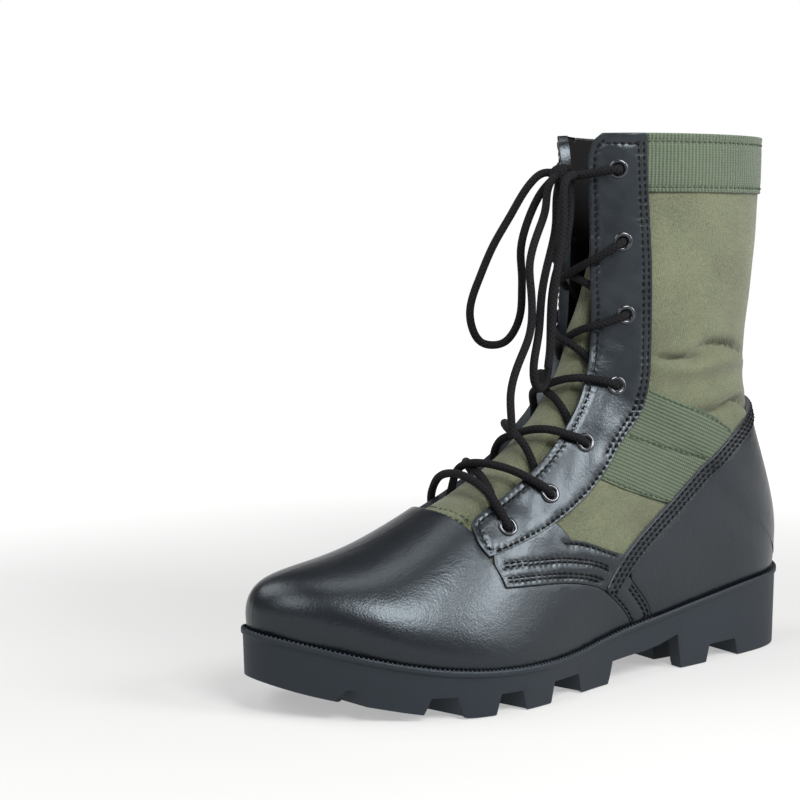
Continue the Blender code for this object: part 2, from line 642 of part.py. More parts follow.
def build_panels():
    """Leather and webbing that lie on the upper."""
    half = GAP / 2
    vamp = line(FACING_FRONT, 11, half) + line(WING_LOW, 12, half) + [(-34, 10), (180, 10), (180, 110)]
    panel("vamp", vamp, LEATHER, "leather")
    back = line(FACING_BACK, 18, half)
    facing = back + [p for p in line(FACING_FRONT, 11, -half)[::-1] if p[1] > 66.2] + [(80, 266)]
    wing_top = [p for p in line(FACING_BACK, 18, -half) if p[0] > 23.5]
    wing_front = [p for p in line(FACING_FRONT, 11, -half) if 53.4 < p[1] < 65.0]
    wing_low = [p for p in line(WING_LOW, 12, -half) if p[0] > -7.5]
    wing_back = WING_END + [p for p in line(STRIP_TOP, 12, half)[::-1] if -22.5 < p[0] < -12.0]
    window = line(WINDOW_LOW, 7)[::-1]
    wing = wing_top + wing_front + wing_low + wing_back + window[:-1]
    strip = line(STRIP_TOP, 12, -half)[::-1]
    strip += [p for p in line(STRIP_TOP, 12, -STRIP_WIDE) if p[0] < -26.0] + STRIP_END
    panel("counter_strip", strip, LEATHER + 0.5, "leather")
    curb_front = [p for p in line(WING_LOW, 12, -half) if p[0] < -12.5]
    curb_back = [p for p in line(LOW_STRIP_BACK, 7)[::-1] if p[1] < 47.5]
    curb = curb_front + [(-33, 10), (-46, 10)] + curb_back + CURB_TOP
    counter_top = [p for p in line(STRIP_TOP, 12, -STRIP_WIDE - GAP) if p[0] < -29.0]
    counter_front = [p for p in line(LOW_STRIP_BACK, 7, -GAP) if p[1] < 47.5]
    counter = counter_top + COUNTER_CORNER + counter_front + [(-47, 10), (-180, 10)]
    panel("counter", counter, LEATHER, "leather")
    for word, near, far in (("outer", 0.05, 120.0), ("inner", -120.0, -0.05)):
        made = panel("facing_" + word, facing, LEATHER, "leather", near, far)
        drill(made, EYELET_BARREL + GAP, 9.0)
        panel("wing_" + word, wing, LEATHER, "leather", near, far)
        panel("curb_strip_" + word, curb, LEATHER, "leather", near, far)
        web = line(WEB_TOP, 7) + line(WEB_LOW, 7)[::-1]
        web = panel("ankle_webbing_" + word, web, WEBBING, "webbing", near, far)
        combine(web, prism(facing_block(), -130, 130), "DIFFERENCE")
        combine(web, prism(strip_block(), -130, 130), "DIFFERENCE")
    band = panel("collar_band", [(0, BAND_LOW), (-170, BAND_LOW), (-170, 270), (0, 270)], WEBBING, "webbing")
    combine(band, prism(facing_block(), -130, 130), "DIFFERENCE")
    stay = skin("backstay", GAP, GAP + 1.0, "leather")
    tall = [(-BACKSTAY_HALF, BACKSTAY_LOW), (BACKSTAY_HALF, BACKSTAY_LOW),
            (BACKSTAY_HALF, BAND_LOW - GAP), (-BACKSTAY_HALF, BAND_LOW - GAP)]
    combine(stay, prism(tall, -180, -90, axis="x"), "INTERSECT")


def facing_block():
    """Side-view region of the facing, a gap larger."""
    return line(FACING_BACK, 18, -GAP) + [(90, 60), (90, 266)]


def strip_block():
    """Side-view region of the counter strip and all behind it, a gap larger."""
    return line(STRIP_TOP, 12, GAP) + [(-8, 0), (-190, 0), (-190, 137)]


def build_eyelets():
    """Rolled metal eyelets, a flange over the facing and a barrel through it."""
    top = GAP + LEATHER + GAP + 0.15
    profile = [(EYELET_IN, -0.6), (EYELET_IN, top + 0.9), (EYELET_OUT - 0.7, top + 0.9),
               (EYELET_OUT, top), (EYELET_BARREL, top), (EYELET_BARREL, -0.6)]
    for name, where, axis in eyelet_spots():
        ring_solid(name, profile, where, axis, "enamel", 8)


def locate(x, z, side):
    """Share round and section number of the surface point at a station and height."""
    ts, vs = np.meshgrid(np.linspace(0.02, 1, 120), np.linspace(0.1, TOP_ROW, 340))
    pts = surface(ts.ravel(), vs.ravel(), side)
    k = ((pts[:, 0] - x) ** 2 + (pts[:, 2] - z) ** 2).argmin()
    return float(ts.ravel()[k]), float(vs.ravel()[k])


def build_vents():
    """Two screened drain vents low on the inner side."""
    top = GAP + LEATHER + GAP + 0.5
    profile = [(VENT_IN, top), (VENT_IN, top + 0.9), (VENT_OUT - 0.6, top + 0.9), (VENT_OUT, top)]
    for k, (x, z) in enumerate(VENTS):
        t, v = locate(x * SX, z * SZ, -1)
        ring_solid(f"vent_{k + 1}", profile, surface(t, v, -1), outward(t, v, -1), "enamel", 10)


def strand(low, high, side):
    """Route of one strand: from the throat's edge by one eyelet to the next eyelet across."""
    v0, t0 = EYELETS[low]
    v1, t1 = EYELETS[high]
    steps = [(-0.62, 0.12, 0.2), (-0.1, 0.45, 1.4), (0.5, 0.62, 2.6), (1.0, 0.78, 4.4), (1.45, 0.9, 4.5)]
    pts = []
    for share, along, lift in steps:
        v = v0 + (v1 - v0) * along
        way = side if share > 0 else -side
        t = abs(share) * throat_t(v, way)
        if share > 1:
            t = throat_t(v, way) + (t1 - throat_t(v, way)) * 0.42
        pts.append(surface(t, v, way) + outward(t, v, way) * lift)
    return route(pts, 7)


def build_lace():
    """Bar and crossings over the tongue, then tie, bow loops and free ends."""
    v, t = EYELETS[-1]
    bar = []
    for share in (-0.55, -0.25, 0.0, 0.25, 0.55):
        side = 1 if share >= 0 else -1
        edge = throat_t(v, side)
        round_ = abs(share) / 0.55 * (edge + (t - edge) * 0.45)
        lift = 4.6 if share else 3.4
        bar.append(surface(round_, v, side) + outward(round_, v, side) * lift)
    rod("lace_bar", route(bar, 9), LACE / 2, "cord")
    for k in range(5):
        low = len(EYELETS) - 1 - k
        made = rod(f"lace_cross_{k + 1}", strand(low, low - 1, 1), LACE / 2, "cord", 6)
        combine(made, rod("strand", strand(low, low - 1, -1), LACE / 2, "cord", 6), "UNION")
    cord("lace_tie", TIE, 20)
    cord("lace_loop_long", LOOP_LONG, 25)
    cord("lace_loop_short", LOOP_SHORT, 26)
    cord("lace_end_long", END_LONG, 18)
    cord("lace_end_short", END_SHORT, 17)


def build_tongue():
    """Canvas tongue under the throat, from below the vamp to a little under the collar."""
    first = ROWS.index(3.5)
    last = ROWS.index(15.8)
    pts, nor, tris, base = sheet(first, last, CENTRE_COLS + 2, False)
    verts, faces = thick(pts, nor, tris, -WALL - 0.4 - TONGUE, -WALL - 0.4, base)
    return make("tongue", verts, faces, "canvas")


for old in list(bpy.data.objects):
    bpy.data.objects.remove(old)
build_outsole()
build_insole()
drill(skin("upper", -WALL, 0.0, "canvas"), EYELET_BARREL + GAP, 9.0)
build_tongue()
build_panels()
build_eyelets()
build_vents()
build_lace()
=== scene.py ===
"""Left lace-up combat boot: canvas shaft, leather foot and facings, webbing, lugged rubber sole.

Lengths in the tables are millimetres. +X runs to the toe, +Y to the wearer's left (the outer side
of this left boot), +Z up, floor at Z = 0. A place on the upper is given by its section number v,
toe to collar, and its share t of the way round from the ridge to the sole or the back seam.
"""
import math
from functools import lru_cache

import bmesh
import bpy
import numpy as np
from bpy.props import FloatProperty, FloatVectorProperty, PointerProperty
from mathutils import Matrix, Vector, kdtree
from mathutils.geometry import delaunay_2d_cdt


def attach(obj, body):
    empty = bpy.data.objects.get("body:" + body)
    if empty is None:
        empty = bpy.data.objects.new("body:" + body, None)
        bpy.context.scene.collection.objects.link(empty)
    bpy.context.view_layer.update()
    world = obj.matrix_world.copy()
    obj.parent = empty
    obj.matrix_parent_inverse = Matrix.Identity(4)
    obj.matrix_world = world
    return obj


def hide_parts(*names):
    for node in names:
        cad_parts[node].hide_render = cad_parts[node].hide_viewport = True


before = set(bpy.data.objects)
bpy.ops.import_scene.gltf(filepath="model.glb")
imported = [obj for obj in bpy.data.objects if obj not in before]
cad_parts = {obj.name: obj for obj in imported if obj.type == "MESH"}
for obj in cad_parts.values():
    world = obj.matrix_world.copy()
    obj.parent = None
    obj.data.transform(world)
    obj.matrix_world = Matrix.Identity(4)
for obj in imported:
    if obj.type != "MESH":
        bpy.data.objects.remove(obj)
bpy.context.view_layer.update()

MM = 0.001

bl_info = {
    "name": "Combat boot",
    "version": (1, 0, 0),
    "blender": (4, 5, 0),
    "location": "View3D > Sidebar > Boot",
    "description": "Builds a left lace-up combat boot over its packed solids",
    "category": "Object",
}

# Sole seen from above: station along the boot, outer half, inner half
OUTLINE = [
    (-151, 0.0, 0.0), (-149, 9.0, 9.0), (-144, 17.0, 17.0), (-134, 25.5, 25.5),
    (-118, 31.0, 31.0), (-100, 33.5, 33.0), (-75, 36.0, 33.5), (-50, 37.5, 32.0),
    (-20, 39.0, 30.0), (5, 44.0, 32.0), (30, 50.5, 39.0), (50, 53.0, 46.5),
    (70, 51.5, 51.5), (90, 45.5, 53.0), (110, 34.5, 50.5), (128, 21.0, 43.5),
    (141, 7.0, 34.0), (148, -2.0, 25.0), (151, -13.5, 13.5),
]
# Feather line, the top of the sole, then the underside of the lugs: station, height
FEATHER = [
    (-151, 39.0), (-140, 38.4), (-105, 35.6), (-86, 33.2), (-62, 30.0), (-44, 27.1), (-26, 24.3),
    (-5, 20.9), (12, 18.8), (35, 18.3), (58, 19.0), (84, 21.2), (100, 23.8), (125, 29.4), (140, 33.2),
    (151, 35.8),
]
GROUND = [
    (-151, 1.5), (-146, 0.0), (-100, 0.0), (0, 0.0), (70, 0.0), (93, 2.6), (117, 7.0),
    (124, 8.4), (137, 11.4), (151, 16.0),
]
WELT = 4.5
WALL = 2.0
# Edge of the sole from the top inner edge down: how far out, height above the feather line
WELT_STEPS = [
    (-4.3, 0.05), (-1.9, 0.05), (-1.55, 0.3), (-1.3, 0.7), (-0.9, 0.9), (-0.45, 0.85), (-0.1, 0.5),
    (0.0, 0.0), (0.0, -1.3), (-0.2, -1.7), (-0.7, -1.95), (-0.85, -2.4),
]
WALL_LOOPS = 6
TREAD_EDGE = -1.4
# Ribs that stand for a stitched welt: length, width and height of one, pitch, station they start from
WELT_RIB = (1.8, 1.3, 1.5)
WELT_PITCH = 2.1
WELT_FROM = -42.0
# Edge of the insole pad from the top down: how far out from the upper's inner face, height
PAD_STEPS = [(-2.8, 3.8), (-1.9, 3.3), (-1.6, 2.0), (-1.9, 0.4)]
# Gaps between lugs: rear end of the lug ahead, front end of the lug behind, height of the root
GAPS = {
    1: [(118.3, 110.4, 14.0), (94.0, 79.5, 10.0), (65.0, 48.5, 9.1), (32.0, 8.0, 9.4),
        (-79.0, -103.0, 8.6)],
    -1: [(127.5, 119.0, 15.2), (97.0, 80.0, 10.4), (67.0, 50.0, 9.2), (34.0, 11.0, 9.6),
         (-79.0, -103.0, 8.7)],
}
WAIST = [(-61.0, -2.0), (-58.5, 17.2), (-46.0, 13.5), (-36.0, 11.9), (-15.0, 10.3), (-11.8, -2.0)]
# Slots that part the front of the heel: root along the boot, then where they run across
HEEL_SLOT = [(-100.0, 8.9), (-50.0, 13.6)]
HEEL_SLOT_RUNS = [(16.5, 28.5), (-25.0, -14.0)]
LUG_DRAFT = 2.4
LUG_SLOPE = 3.75
LUG_SKEW = 0.35
SPINE = 8.0

# Sections of the upper, toe to collar: ridge (xr, yr, zr), base sb along the feather line from the
# heel tip then zb up the back seam, level run y1 from the ridge, stand y2 of the side at height k2
SECTION_NAMES = ("xr", "zr", "yr", "sb", "zb", "y1_out", "y2_out", "y1_in", "y2_in", "k2")
SECTIONS = [
    (146.5, 35.4, -13.4, 268.2, 39, 12.5, 22.4, 17, 44.3, 0.43),
    (147.0, 47.0, -13.0, 260.7, 39, 15, 28, 19, 46.5, 0.43),
    (140.0, 56.5, -12.0, 249.0, 39, 21, 38, 23, 49, 0.42),
    (122.0, 62.0, -9.0, 234.8, 39, 28, 46, 28, 50, 0.42),
    (95.0, 69.0, -6.0, 218.0, 39, 34, 50, 31, 48, 0.40),
    (64.0, 83.0, -3.0, 197.4, 39, 36, 48, 34, 43, 0.38),
    (43.0, 94.5, -1.0, 172.7, 39, 36, 43, 34, 38, 0.36),
    (24.0, 106.0, 0.0, 140.0, 39, 35, 40, 34, 36, 0.34),
    (8.0, 119.0, 0.0, 105.0, 39, 34, 38, 34, 36, 0.30),
    (-4.0, 133.0, 0.0, 68.0, 39, 34, 37, 34, 36.5, 0.25),
    (-10.0, 143.0, 0.0, 35.6, 39, 34, 39.5, 34, 39.5, 0.17),
    (-14.0, 152.0, 0.0, 12.0, 39, 34, 47, 34, 47, 0.09),
    (-16.5, 160.0, 0.0, 0.0, 39, 34, 54, 34, 54, 0.03),
    (-18.5, 170.0, 0.0, 0.0, 60, 35, 52, 35, 52, 0.0),
    (-20.0, 183.0, 0.0, 0.0, 97, 36, 48, 36, 48, 0.0),
    (-21.0, 198.0, 0.0, 0.0, 135, 38, 46, 38, 46, 0.0),
    (-21.5, 222.0, 0.0, 0.0, 188, 41, 48, 41, 48, 0.0),
    (-20.5, 257.0, 0.0, 0.0, 257, 45, 50, 45, 50, 0.0),
]
# Back seam: height, station
BACK = [(39, -146.5), (64, -144.4), (97, -133.6), (135, -123.0), (188, -127.5), (257, -130.0)]
HEEL_ROW = 12
TOP_ROW = 17
# Throat: section number, half width of the opening
THROAT = [(0.0, 22.5), (5.05, 22.5), (6.5, 20.0), (8.0, 17.0), (10.3, 13.0), (13.5, 10.7),
          (15.4, 9.4), (17.0, 8.4)]
THROAT_ROW = 5.05
VAMP_ROW = 5.02
# Tongue: first and last section, thickness, tuck of its edges, how far its top leans in
TONGUE_FOOT = 3.6
TONGUE_TOP = 15.8
TONGUE_THICK = 2.2
TONGUE_TUCK = 3.2
TONGUE_LEAN = 10.0

# Panel edges in side view, station and height
FACING_BACK = [(-39.8, 266), (-40.6, 256), (-42.7, 230), (-46.2, 180), (-46.8, 159), (-45.6, 138),
               (-40.2, 123.5), (-31.0, 114.0), (-20.2, 102.0), (-13.1, 95.0), (1.4, 84.7),
               (13.9, 78.3), (23.0, 74.4), (38.0, 69.6), (54.0, 65.5)]
FACING_FRONT = [(66.0, 110.0), (59.0, 88.0), (55.8, 76.2), (56.4, 71.4), (54.0, 65.5), (50.3, 52.8)]
WING_LOW = [(50.3, 52.8), (30.2, 52.0), (10.5, 50.4), (1.2, 48.6), (-7.0, 45.9), (-13.9, 41.3),
            (-23.2, 32.9), (-28.8, 25.4), (-31.5, 20.5)]
WINDOW_LOW = [(23.0, 74.4), (14.8, 70.4), (6.1, 69.2), (-4.3, 66.4), (-13.2, 63.0), (-23.0, 59.9)]
STRIP_TOP = [(-141.0, 137.0), (-118.0, 125.6), (-94.8, 112.2), (-76.1, 98.4), (-54.3, 81.7),
             (-36.2, 69.4), (-22.3, 58.2), (-10.6, 45.2)]
STRIP_WIDE = 8.0
LOW_STRIP_BACK = [(-25.0, 49.8), (-28.0, 46.2), (-33.0, 40.7), (-37.4, 35.6), (-41.0, 28.7), (-42.8, 21.0)]
WEB_TOP = [(-30.0, 141.5), (-46.2, 136.0), (-59.1, 130.5), (-76.2, 124.2), (-86.0, 119.5), (-96.0, 112.6),
           (-104.0, 106.0)]
WEB_LOW = [(5.0, 102.5), (-13.7, 95.7), (-25.6, 90.4), (-38.6, 85.8), (-54.4, 80.9), (-70.0, 76.0)]
# Seam between the two widths of the ankle webbing
WEB_MID = [(-20.0, 118.0), (-32.4, 113.5), (-39.5, 111.0), (-50.4, 107.5), (-58.9, 105.2), (-68.7, 102.6),
           (-80.0, 99.5)]
BAND_LOW = 229.5
BACKSTAY_HALF = 3.4
BACKSTAY_LOW = 132.0
# Eyelets, collar to instep: section number, share of the way round
EYELETS = [(16.58, 0.184), (15.62, 0.211), (14.03, 0.231), (11.02, 0.232), (8.47, 0.284),
           (7.02, 0.344), (5.81, 0.361)]
# Drain vents low on the inner side: station, height; then radius to the middle of the roll, and of it
VENTS = [(12.0, 36.0), (-5.0, 37.0)]
VENT_RING = 3.4
VENT_ROLL = 1.0
# Rolls of eyelets and vents are flattened by these shares, and sit this far above the leather
EYELET_FLAT = 0.75
VENT_FLAT = 0.8
ROLL_RISE = 0.6

# Panels: underside above the canvas, extra height of the facing and of the folded counter strip
UNDERSIDE = 0.03
FACING_RISE = 0.35
STRIP_RISE = 0.4
# Stitches: half width of the groove, share of its depth at needle holes only, how far threads sink in
# leather and in webbing, share of the pitch that one stitch takes, how much wider than high it is
GROOVE_HALF = 0.95
HOLE_SHARE = 0.28
SINK = 0.05
FACING_SINK = 0.1
WEB_SINK = 0.15
STITCH_SHARE = 0.74
STITCH_FLAT = 1.2
# Stitch rows by their distance from an edge, heights of the rows of the collar band, height at which the
# rows of the facing stop and section of the row that joins them there
FACING_FRONT_ROW = 3.1
FACING_BACK_ROWS = (1.5, 4.0)
STRIP_ROWS = (1.6, 4.0, 6.4)
WING_ROWS = (2.6, 4.3, 9.3, 11.0)
CURB_ROWS = (1.5, 3.6)
BAND_ROWS = (232.0, 253.2)
ROWS_TOP = 254.5
FACING_TOP_ROW = 16.88
# Rows of extra points on both sides of a stitch row, and hole cut in the facing for an eyelet
ROW_SUPPORT = 0.8
HOLE_CUT = 2.6
# Rounded rim of a panel: degrees of its steps, share of the rim by which the underside stands out
RIM_ANGLES = (35, 65, 90)
RIM_UNDER = 0.9

# Lace over the tongue: height of the upper and the lower strand at a crossing, arch over the instep
LACE_OVER = 4.6
LACE_UNDER = 0.9
LACE_ARCH = 1.6
# Knot wound round the tie: station and height of its middle, radii, half width, turns
KNOT_AT = (-13.8, 236.9)
KNOT_ROUND = (3.6, 3.9)
KNOT_HALF = 3.7
KNOT_TURNS = 2.15
# Bow at the collar, route points
TIE = [(-28.5, 22.9, 240.0), (-27.3, 24.0, 239.9), (-23.4, 21.2, 239.2), (-20.2, 16.8, 238.3),
       (-17.4, 11.5, 237.4), (-14.8, 5.5, 237.0), (-13.8, 0.0, 237.0), (-14.8, -5.5, 237.0),
       (-17.4, -11.5, 237.4), (-20.2, -16.8, 238.3), (-23.4, -21.2, 239.2), (-27.3, -24.0, 239.9),
       (-28.5, -22.9, 240.0)]
LOOP_LONG = [(-12.3, -5.2, 238.6), (-8.2, -8, 238.6), (-3.4, -11, 234.4), (5, -16, 219), (12, -20, 205),
             (18, -24, 188), (21, -27, 173), (19, -28, 165), (14, -28, 158), (6, -28, 156),
             (-3, -29, 158), (-9, -27, 169), (-8, -24, 181), (-4, -19, 191), (-1, -16, 202),
             (-1.5, -13.5, 212), (-5, -12, 222), (-10.5, -10.8, 231), (-14.2, -9.6, 235.1)]
LOOP_SHORT = [(-13.3, -2.5, 234.8), (-11, -1.5, 227), (-9.5, 0, 215), (-5, 2, 202), (3, 5.5, 182),
              (8, 9.3, 162), (13.3, 12.7, 146), (11.6, 11.8, 140.4), (6.4, 9.3, 137.6), (1.2, 6.8, 140.4),
              (-1.1, 5.6, 146), (-1.6, 6.2, 158), (-2.2, 6, 176), (-6, 5, 192), (-11, 5, 204),
              (-14.5, 4.2, 218), (-15.2, 3.6, 228), (-14.6, 3.5, 234.9)]
END_LONG = [(-11.6, 1, 237.4), (-7, 1.2, 236), (-3, 1.6, 230), (-1.6, 2, 222), (3, 3, 212),
            (7.5, 4, 203), (10, 5, 195), (10, 6, 185), (10, 7, 176), (13, 9, 163), (19, 10, 152),
            (26, 12, 136), (28, 15, 127), (28, 16, 117)]
END_SHORT = [(-13.5, 8.2, 237.3), (-9.2, 9.7, 236.4), (-6.1, 10.6, 233.4), (-4.9, 11.1, 229.2),
             (-4.6, 11.5, 216), (-2, 12, 200), (2, 13, 179), (4, 14, 162), (7, 15.5, 148)]

# Folds of the canvas on the outer side: route in side view, depth (trough below zero), half width
FOLDS = [
    ([(-50, 150.5), (-62, 149.7), (-72, 150.2), (-80, 152.0)], -4.2, 1.9),
    ([(-52, 144.5), (-66, 144.8), (-84, 146.5), (-103, 146.0)], 2.8, 4.2),
    ([(-52, 155.0), (-62, 155.5), (-71, 158.0)], 1.2, 4.0),
    ([(-70, 152.0), (-77, 155.7), (-86, 156.5), (-96, 155.2), (-112, 150.0)], -4.2, 2.0),
    ([(-73, 161.5), (-86, 162.0), (-104, 159.5)], 1.6, 4.2),
    ([(-80, 149.5), (-92, 150.0), (-110, 145.5)], 2.2, 3.6),
    ([(-74, 123.6), (-86, 124.4), (-94, 127.4), (-102, 127.8), (-114, 123.0)], -4.0, 1.8),
    ([(-74, 130.0), (-87, 130.2), (-97, 133.0), (-110, 131.5)], 2.6, 3.8),
    ([(-96, 121.5), (-104, 121.5), (-112, 118.0)], 1.5, 3.2),
    ([(-14, 86.0), (-6, 79.5), (4, 77.5), (10, 75.5)], -1.8, 2.0),
    ([(-30, 84.0), (-20, 76.0), (-14, 66.0)], 1.1, 4.5),
    ([(-52, 186.0), (-62, 196.0), (-66, 212.0)], 0.7, 8.0),
]
# Power by which folds fade towards their ends
FOLD_FADE = 0.4

# Softboxes: place, width and height in metres, power in watts; all aim at the middle of the boot
LAMPS = {
    "softbox_key": ((0.14, 0.53, 0.60), 0.30, 0.28, 5.6),
    "softbox_side": ((-0.51, 0.87, 0.70), 0.42, 0.42, 10.5),
    "softbox_left": ((0.80, -0.67, 1.14), 1.0, 0.8, 9.5),
    "softbox_front": ((1.27, 0.27, 0.90), 0.5, 0.8, 7.0),
    "softbox_top": ((0.0, -0.1, 1.5), 0.5, 0.5, 3.2),
    "softbox_right": ((-0.96, 0.96, 0.42), 0.7, 0.4, 3.0),
}
LAMP_AIM = (0.0, 0.0, 0.1)
# Camera: place in metres, level direction, degrees down, lens and sensor in millimetres
CAMERA_AT = (0.5024, 0.6334, 0.2120)
CAMERA_WAY = (-0.5554, -0.8316)
CAMERA_DOWN = 5.73
LENS = 76.6
SENSOR = 36.0


def linear(code):
    """Turn an sRGB hex code into linear red, green and blue."""
    parts = [int(code[i:i + 2], 16) / 255 for i in (1, 3, 5)]
    return tuple(c / 12.92 if c <= 0.04045 else ((c + 0.055) / 1.055) ** 2.4 for c in parts)


class BootSizes(bpy.types.PropertyGroup):
    """Sizes of what is sewn, pressed and laced on the boot."""
    leather: FloatProperty(name="Leather", description="Thickness of the leather panels",
                           default=0.0017, unit="LENGTH")
    overlay: FloatProperty(name="Overlay", description="Thickness of panels that lie over others",
                           default=0.0022, unit="LENGTH")
    webbing: FloatProperty(name="Webbing", description="Thickness of collar and ankle webbing",
                           default=0.0014, unit="LENGTH")
    pitch: FloatProperty(name="Stitch pitch", description="From one stitch to the next",
                         default=0.0033, unit="LENGTH")
    thread: FloatProperty(name="Thread", description="Width of one stitch",
                          default=0.0009, unit="LENGTH")
    flange: FloatProperty(name="Eyelet", description="Outer radius of an eyelet's flange",
                          default=0.0046, unit="LENGTH")
    hole: FloatProperty(name="Eyelet hole", description="Radius of an eyelet's hole",
                        default=0.0026, unit="LENGTH")
    lace: FloatProperty(name="Lace", description="Diameter of the braided lace",
                        default=0.0039, unit="LENGTH")


class BootColours(bpy.types.PropertyGroup):
    """Colours of the boot's materials."""
    leather: FloatVectorProperty(name="Leather", description="Finished full-grain leather",
                                 subtype="COLOR", default=linear("#0c0e12"))
    raw: FloatVectorProperty(name="Leather edge", description="Cut edge of the leather",
                             subtype="COLOR", default=linear("#4c4d50"))
    canvas: FloatVectorProperty(name="Canvas", description="Olive canvas",
                                subtype="COLOR", default=linear("#545843"))
    webbing: FloatVectorProperty(name="Webbing", description="Green nylon webbing",
                                 subtype="COLOR", default=linear("#3f4a38"))
    rubber: FloatVectorProperty(name="Rubber", description="Moulded sole rubber",
                                subtype="COLOR", default=linear("#12161d"))
    lace: FloatVectorProperty(name="Lace", description="Braided nylon cord",
                              subtype="COLOR", default=linear("#08080a"))
    thread: FloatVectorProperty(name="Thread", description="Black sewing thread",
                                subtype="COLOR", default=linear("#0c0c0d"))
    green_thread: FloatVectorProperty(name="Green thread", description="Thread of webbing and tongue",
                                      subtype="COLOR", default=linear("#3f4a3b"))


def sizes():
    """The sizes in millimetres."""
    group = bpy.context.scene.boot_sizes
    return {name: getattr(group, name) / MM for name in BootSizes.__annotations__}


def colour(name):
    """One of the user's colours, with alpha."""
    return (*getattr(bpy.context.scene.boot_colours, name), 1.0)


# Curves and the upper's surface


def smooth(xs, ys):
    """Cubic spline through the points, free at its ends, constant beyond them."""
    xs = np.asarray(xs, float)
    ys = np.asarray(ys, float)
    n = len(xs)
    step = np.diff(xs)
    left = np.eye(n)
    right = np.zeros(n)
    for i in range(1, n - 1):
        left[i, i - 1:i + 2] = step[i - 1], 2 * (step[i - 1] + step[i]), step[i]
        right[i] = 6 * ((ys[i + 1] - ys[i]) / step[i] - (ys[i] - ys[i - 1]) / step[i - 1])
    bend = np.linalg.solve(left, right)

    def at(x):
        x = np.clip(np.asarray(x, float), xs[0], xs[-1])
        i = np.clip(np.searchsorted(xs, x) - 1, 0, n - 2)
        a = (xs[i + 1] - x) / step[i]
        b = 1 - a
        return (a * ys[i] + b * ys[i + 1]
                + ((a ** 3 - a) * bend[i] + (b ** 3 - b) * bend[i + 1]) * step[i] ** 2 / 6)
    return at


def steady(xs, ys):
    """Cubic curve through the points that never overshoots them."""
    xs = np.asarray(xs, float)
    ys = np.asarray(ys, float)
    step = np.diff(xs)
    rise = np.diff(ys) / step
    slope = np.r_[rise[0], np.zeros(len(xs) - 2), rise[-1]]
    same = rise[:-1] * rise[1:] > 0
    pairs = np.where(same, rise[:-1] + rise[1:], 1)
    slope[1:-1] = np.where(same, 2 * rise[:-1] * rise[1:] / pairs, 0)

    def at(x):
        x = np.clip(np.asarray(x, float), xs[0], xs[-1])
        i = np.clip(np.searchsorted(xs, x) - 1, 0, len(xs) - 2)
        u = (x - xs[i]) / step[i]
        return ((1 + 2 * u) * (1 - u) ** 2 * ys[i] + u * (1 - u) ** 2 * step[i] * slope[i]
                + u * u * (3 - 2 * u) * ys[i + 1] + u * u * (u - 1) * step[i] * slope[i + 1])
    return at


def lengths(points):
    """Running length along a row of points."""
    return np.r_[0, np.cumsum(np.linalg.norm(np.diff(points, axis=0), axis=1))]


def resample(points, dist, want):
    """Points of a row at the wanted running lengths."""
    return np.stack([np.interp(want, dist, points[:, k]) for k in range(points.shape[1])], 1)


def route(points, count):
    """Even points along a smooth curve through a few route points."""
    pts = np.asarray(points, float)
    dist = lengths(pts)
    fine = np.linspace(0, dist[-1], 400)
    fine = np.stack([smooth(dist, pts[:, k])(fine) for k in range(pts.shape[1])], 1)
    along = lengths(fine)
    return resample(fine, along, np.linspace(0, along[-1], count))


def sole_ring(count):
    """Dense smooth outline of the sole, heel tip first, round by the outer side."""
    outer = [(x, a) for x, a, b in OUTLINE]
    inner = [(x, -b) for x, a, b in OUTLINE[-2:0:-1]]
    ring = np.array(outer + inner, float)
    wrapped = np.vstack([ring[-4:], ring, ring[:5]])
    dist = lengths(wrapped)
    want = np.linspace(dist[4], dist[4 + len(ring)], count + 1)[:-1]
    return np.stack([smooth(dist, wrapped[:, k])(want) for k in (0, 1)], 1)


def ring_way(ring):
    """Outward direction of a closed outline at each point."""
    run = np.roll(ring, -1, 0) - np.roll(ring, 1, 0)
    run /= np.linalg.norm(run, axis=1)[:, None]
    return np.stack([-run[:, 1], run[:, 0]], 1)


SOLE_RING = sole_ring(1200)
FEATHER_RING = SOLE_RING - ring_way(SOLE_RING) * WELT
feather_z = smooth(*np.array(FEATHER, float).T)
ground_z = steady(*np.array(GROUND, float).T)
back_x = smooth(*np.array(BACK, float).T)
throat_half = smooth(*np.array(THROAT, float).T)


def feather_halves():
    """Outer and inner halves of the feather line from heel tip to toe tip, with running length."""
    ring = np.roll(FEATHER_RING, -int(FEATHER_RING[:, 0].argmin()), 0)
    toe = int(ring[:, 0].argmax())
    halves = {1: ring[:toe + 1], -1: np.vstack([ring[:1], ring[:toe - 1:-1]])}
    return {side: (half, lengths(half)) for side, half in halves.items()}


FEATHER_HALVES = feather_halves()
CURVES = {name: (steady if name in ("sb", "zb", "k2") else smooth)(range(len(SECTIONS)), column)
          for name, column in zip(SECTION_NAMES, np.array(SECTIONS, float).T)}


def surface(t, v, side):
    """Point of the upper's outer face: t round from the ridge to the base, v from toe to collar."""
    t = np.asarray(t, float)
    v = np.asarray(v, float)
    got = {name: CURVES[name](v) for name in SECTION_NAMES}
    half, along = FEATHER_HALVES[side]
    on_foot = v < HEEL_ROW
    zero = np.zeros_like(v)
    xb = np.where(on_foot, np.interp(got["sb"], along, half[:, 0]), back_x(got["zb"]))
    yb = np.where(on_foot, np.interp(got["sb"], along, half[:, 1]), zero)
    base = np.stack([xb, yb, np.where(on_foot, feather_z(xb), got["zb"])], -1)
    ridge = np.stack([got["xr"], got["yr"], got["zr"]], -1)
    tail = "_out" if side > 0 else "_in"
    level = ridge + np.stack([zero, side * got["y1" + tail], zero], -1)
    stand = base + (ridge - base) * got["k2"][..., None]
    stand[..., 1] = side * got["y2" + tail]
    t = t[..., None]
    return (1 - t) ** 3 * ridge + 3 * t * (1 - t) ** 2 * level + 3 * t * t * (1 - t) * stand + t ** 3 * base


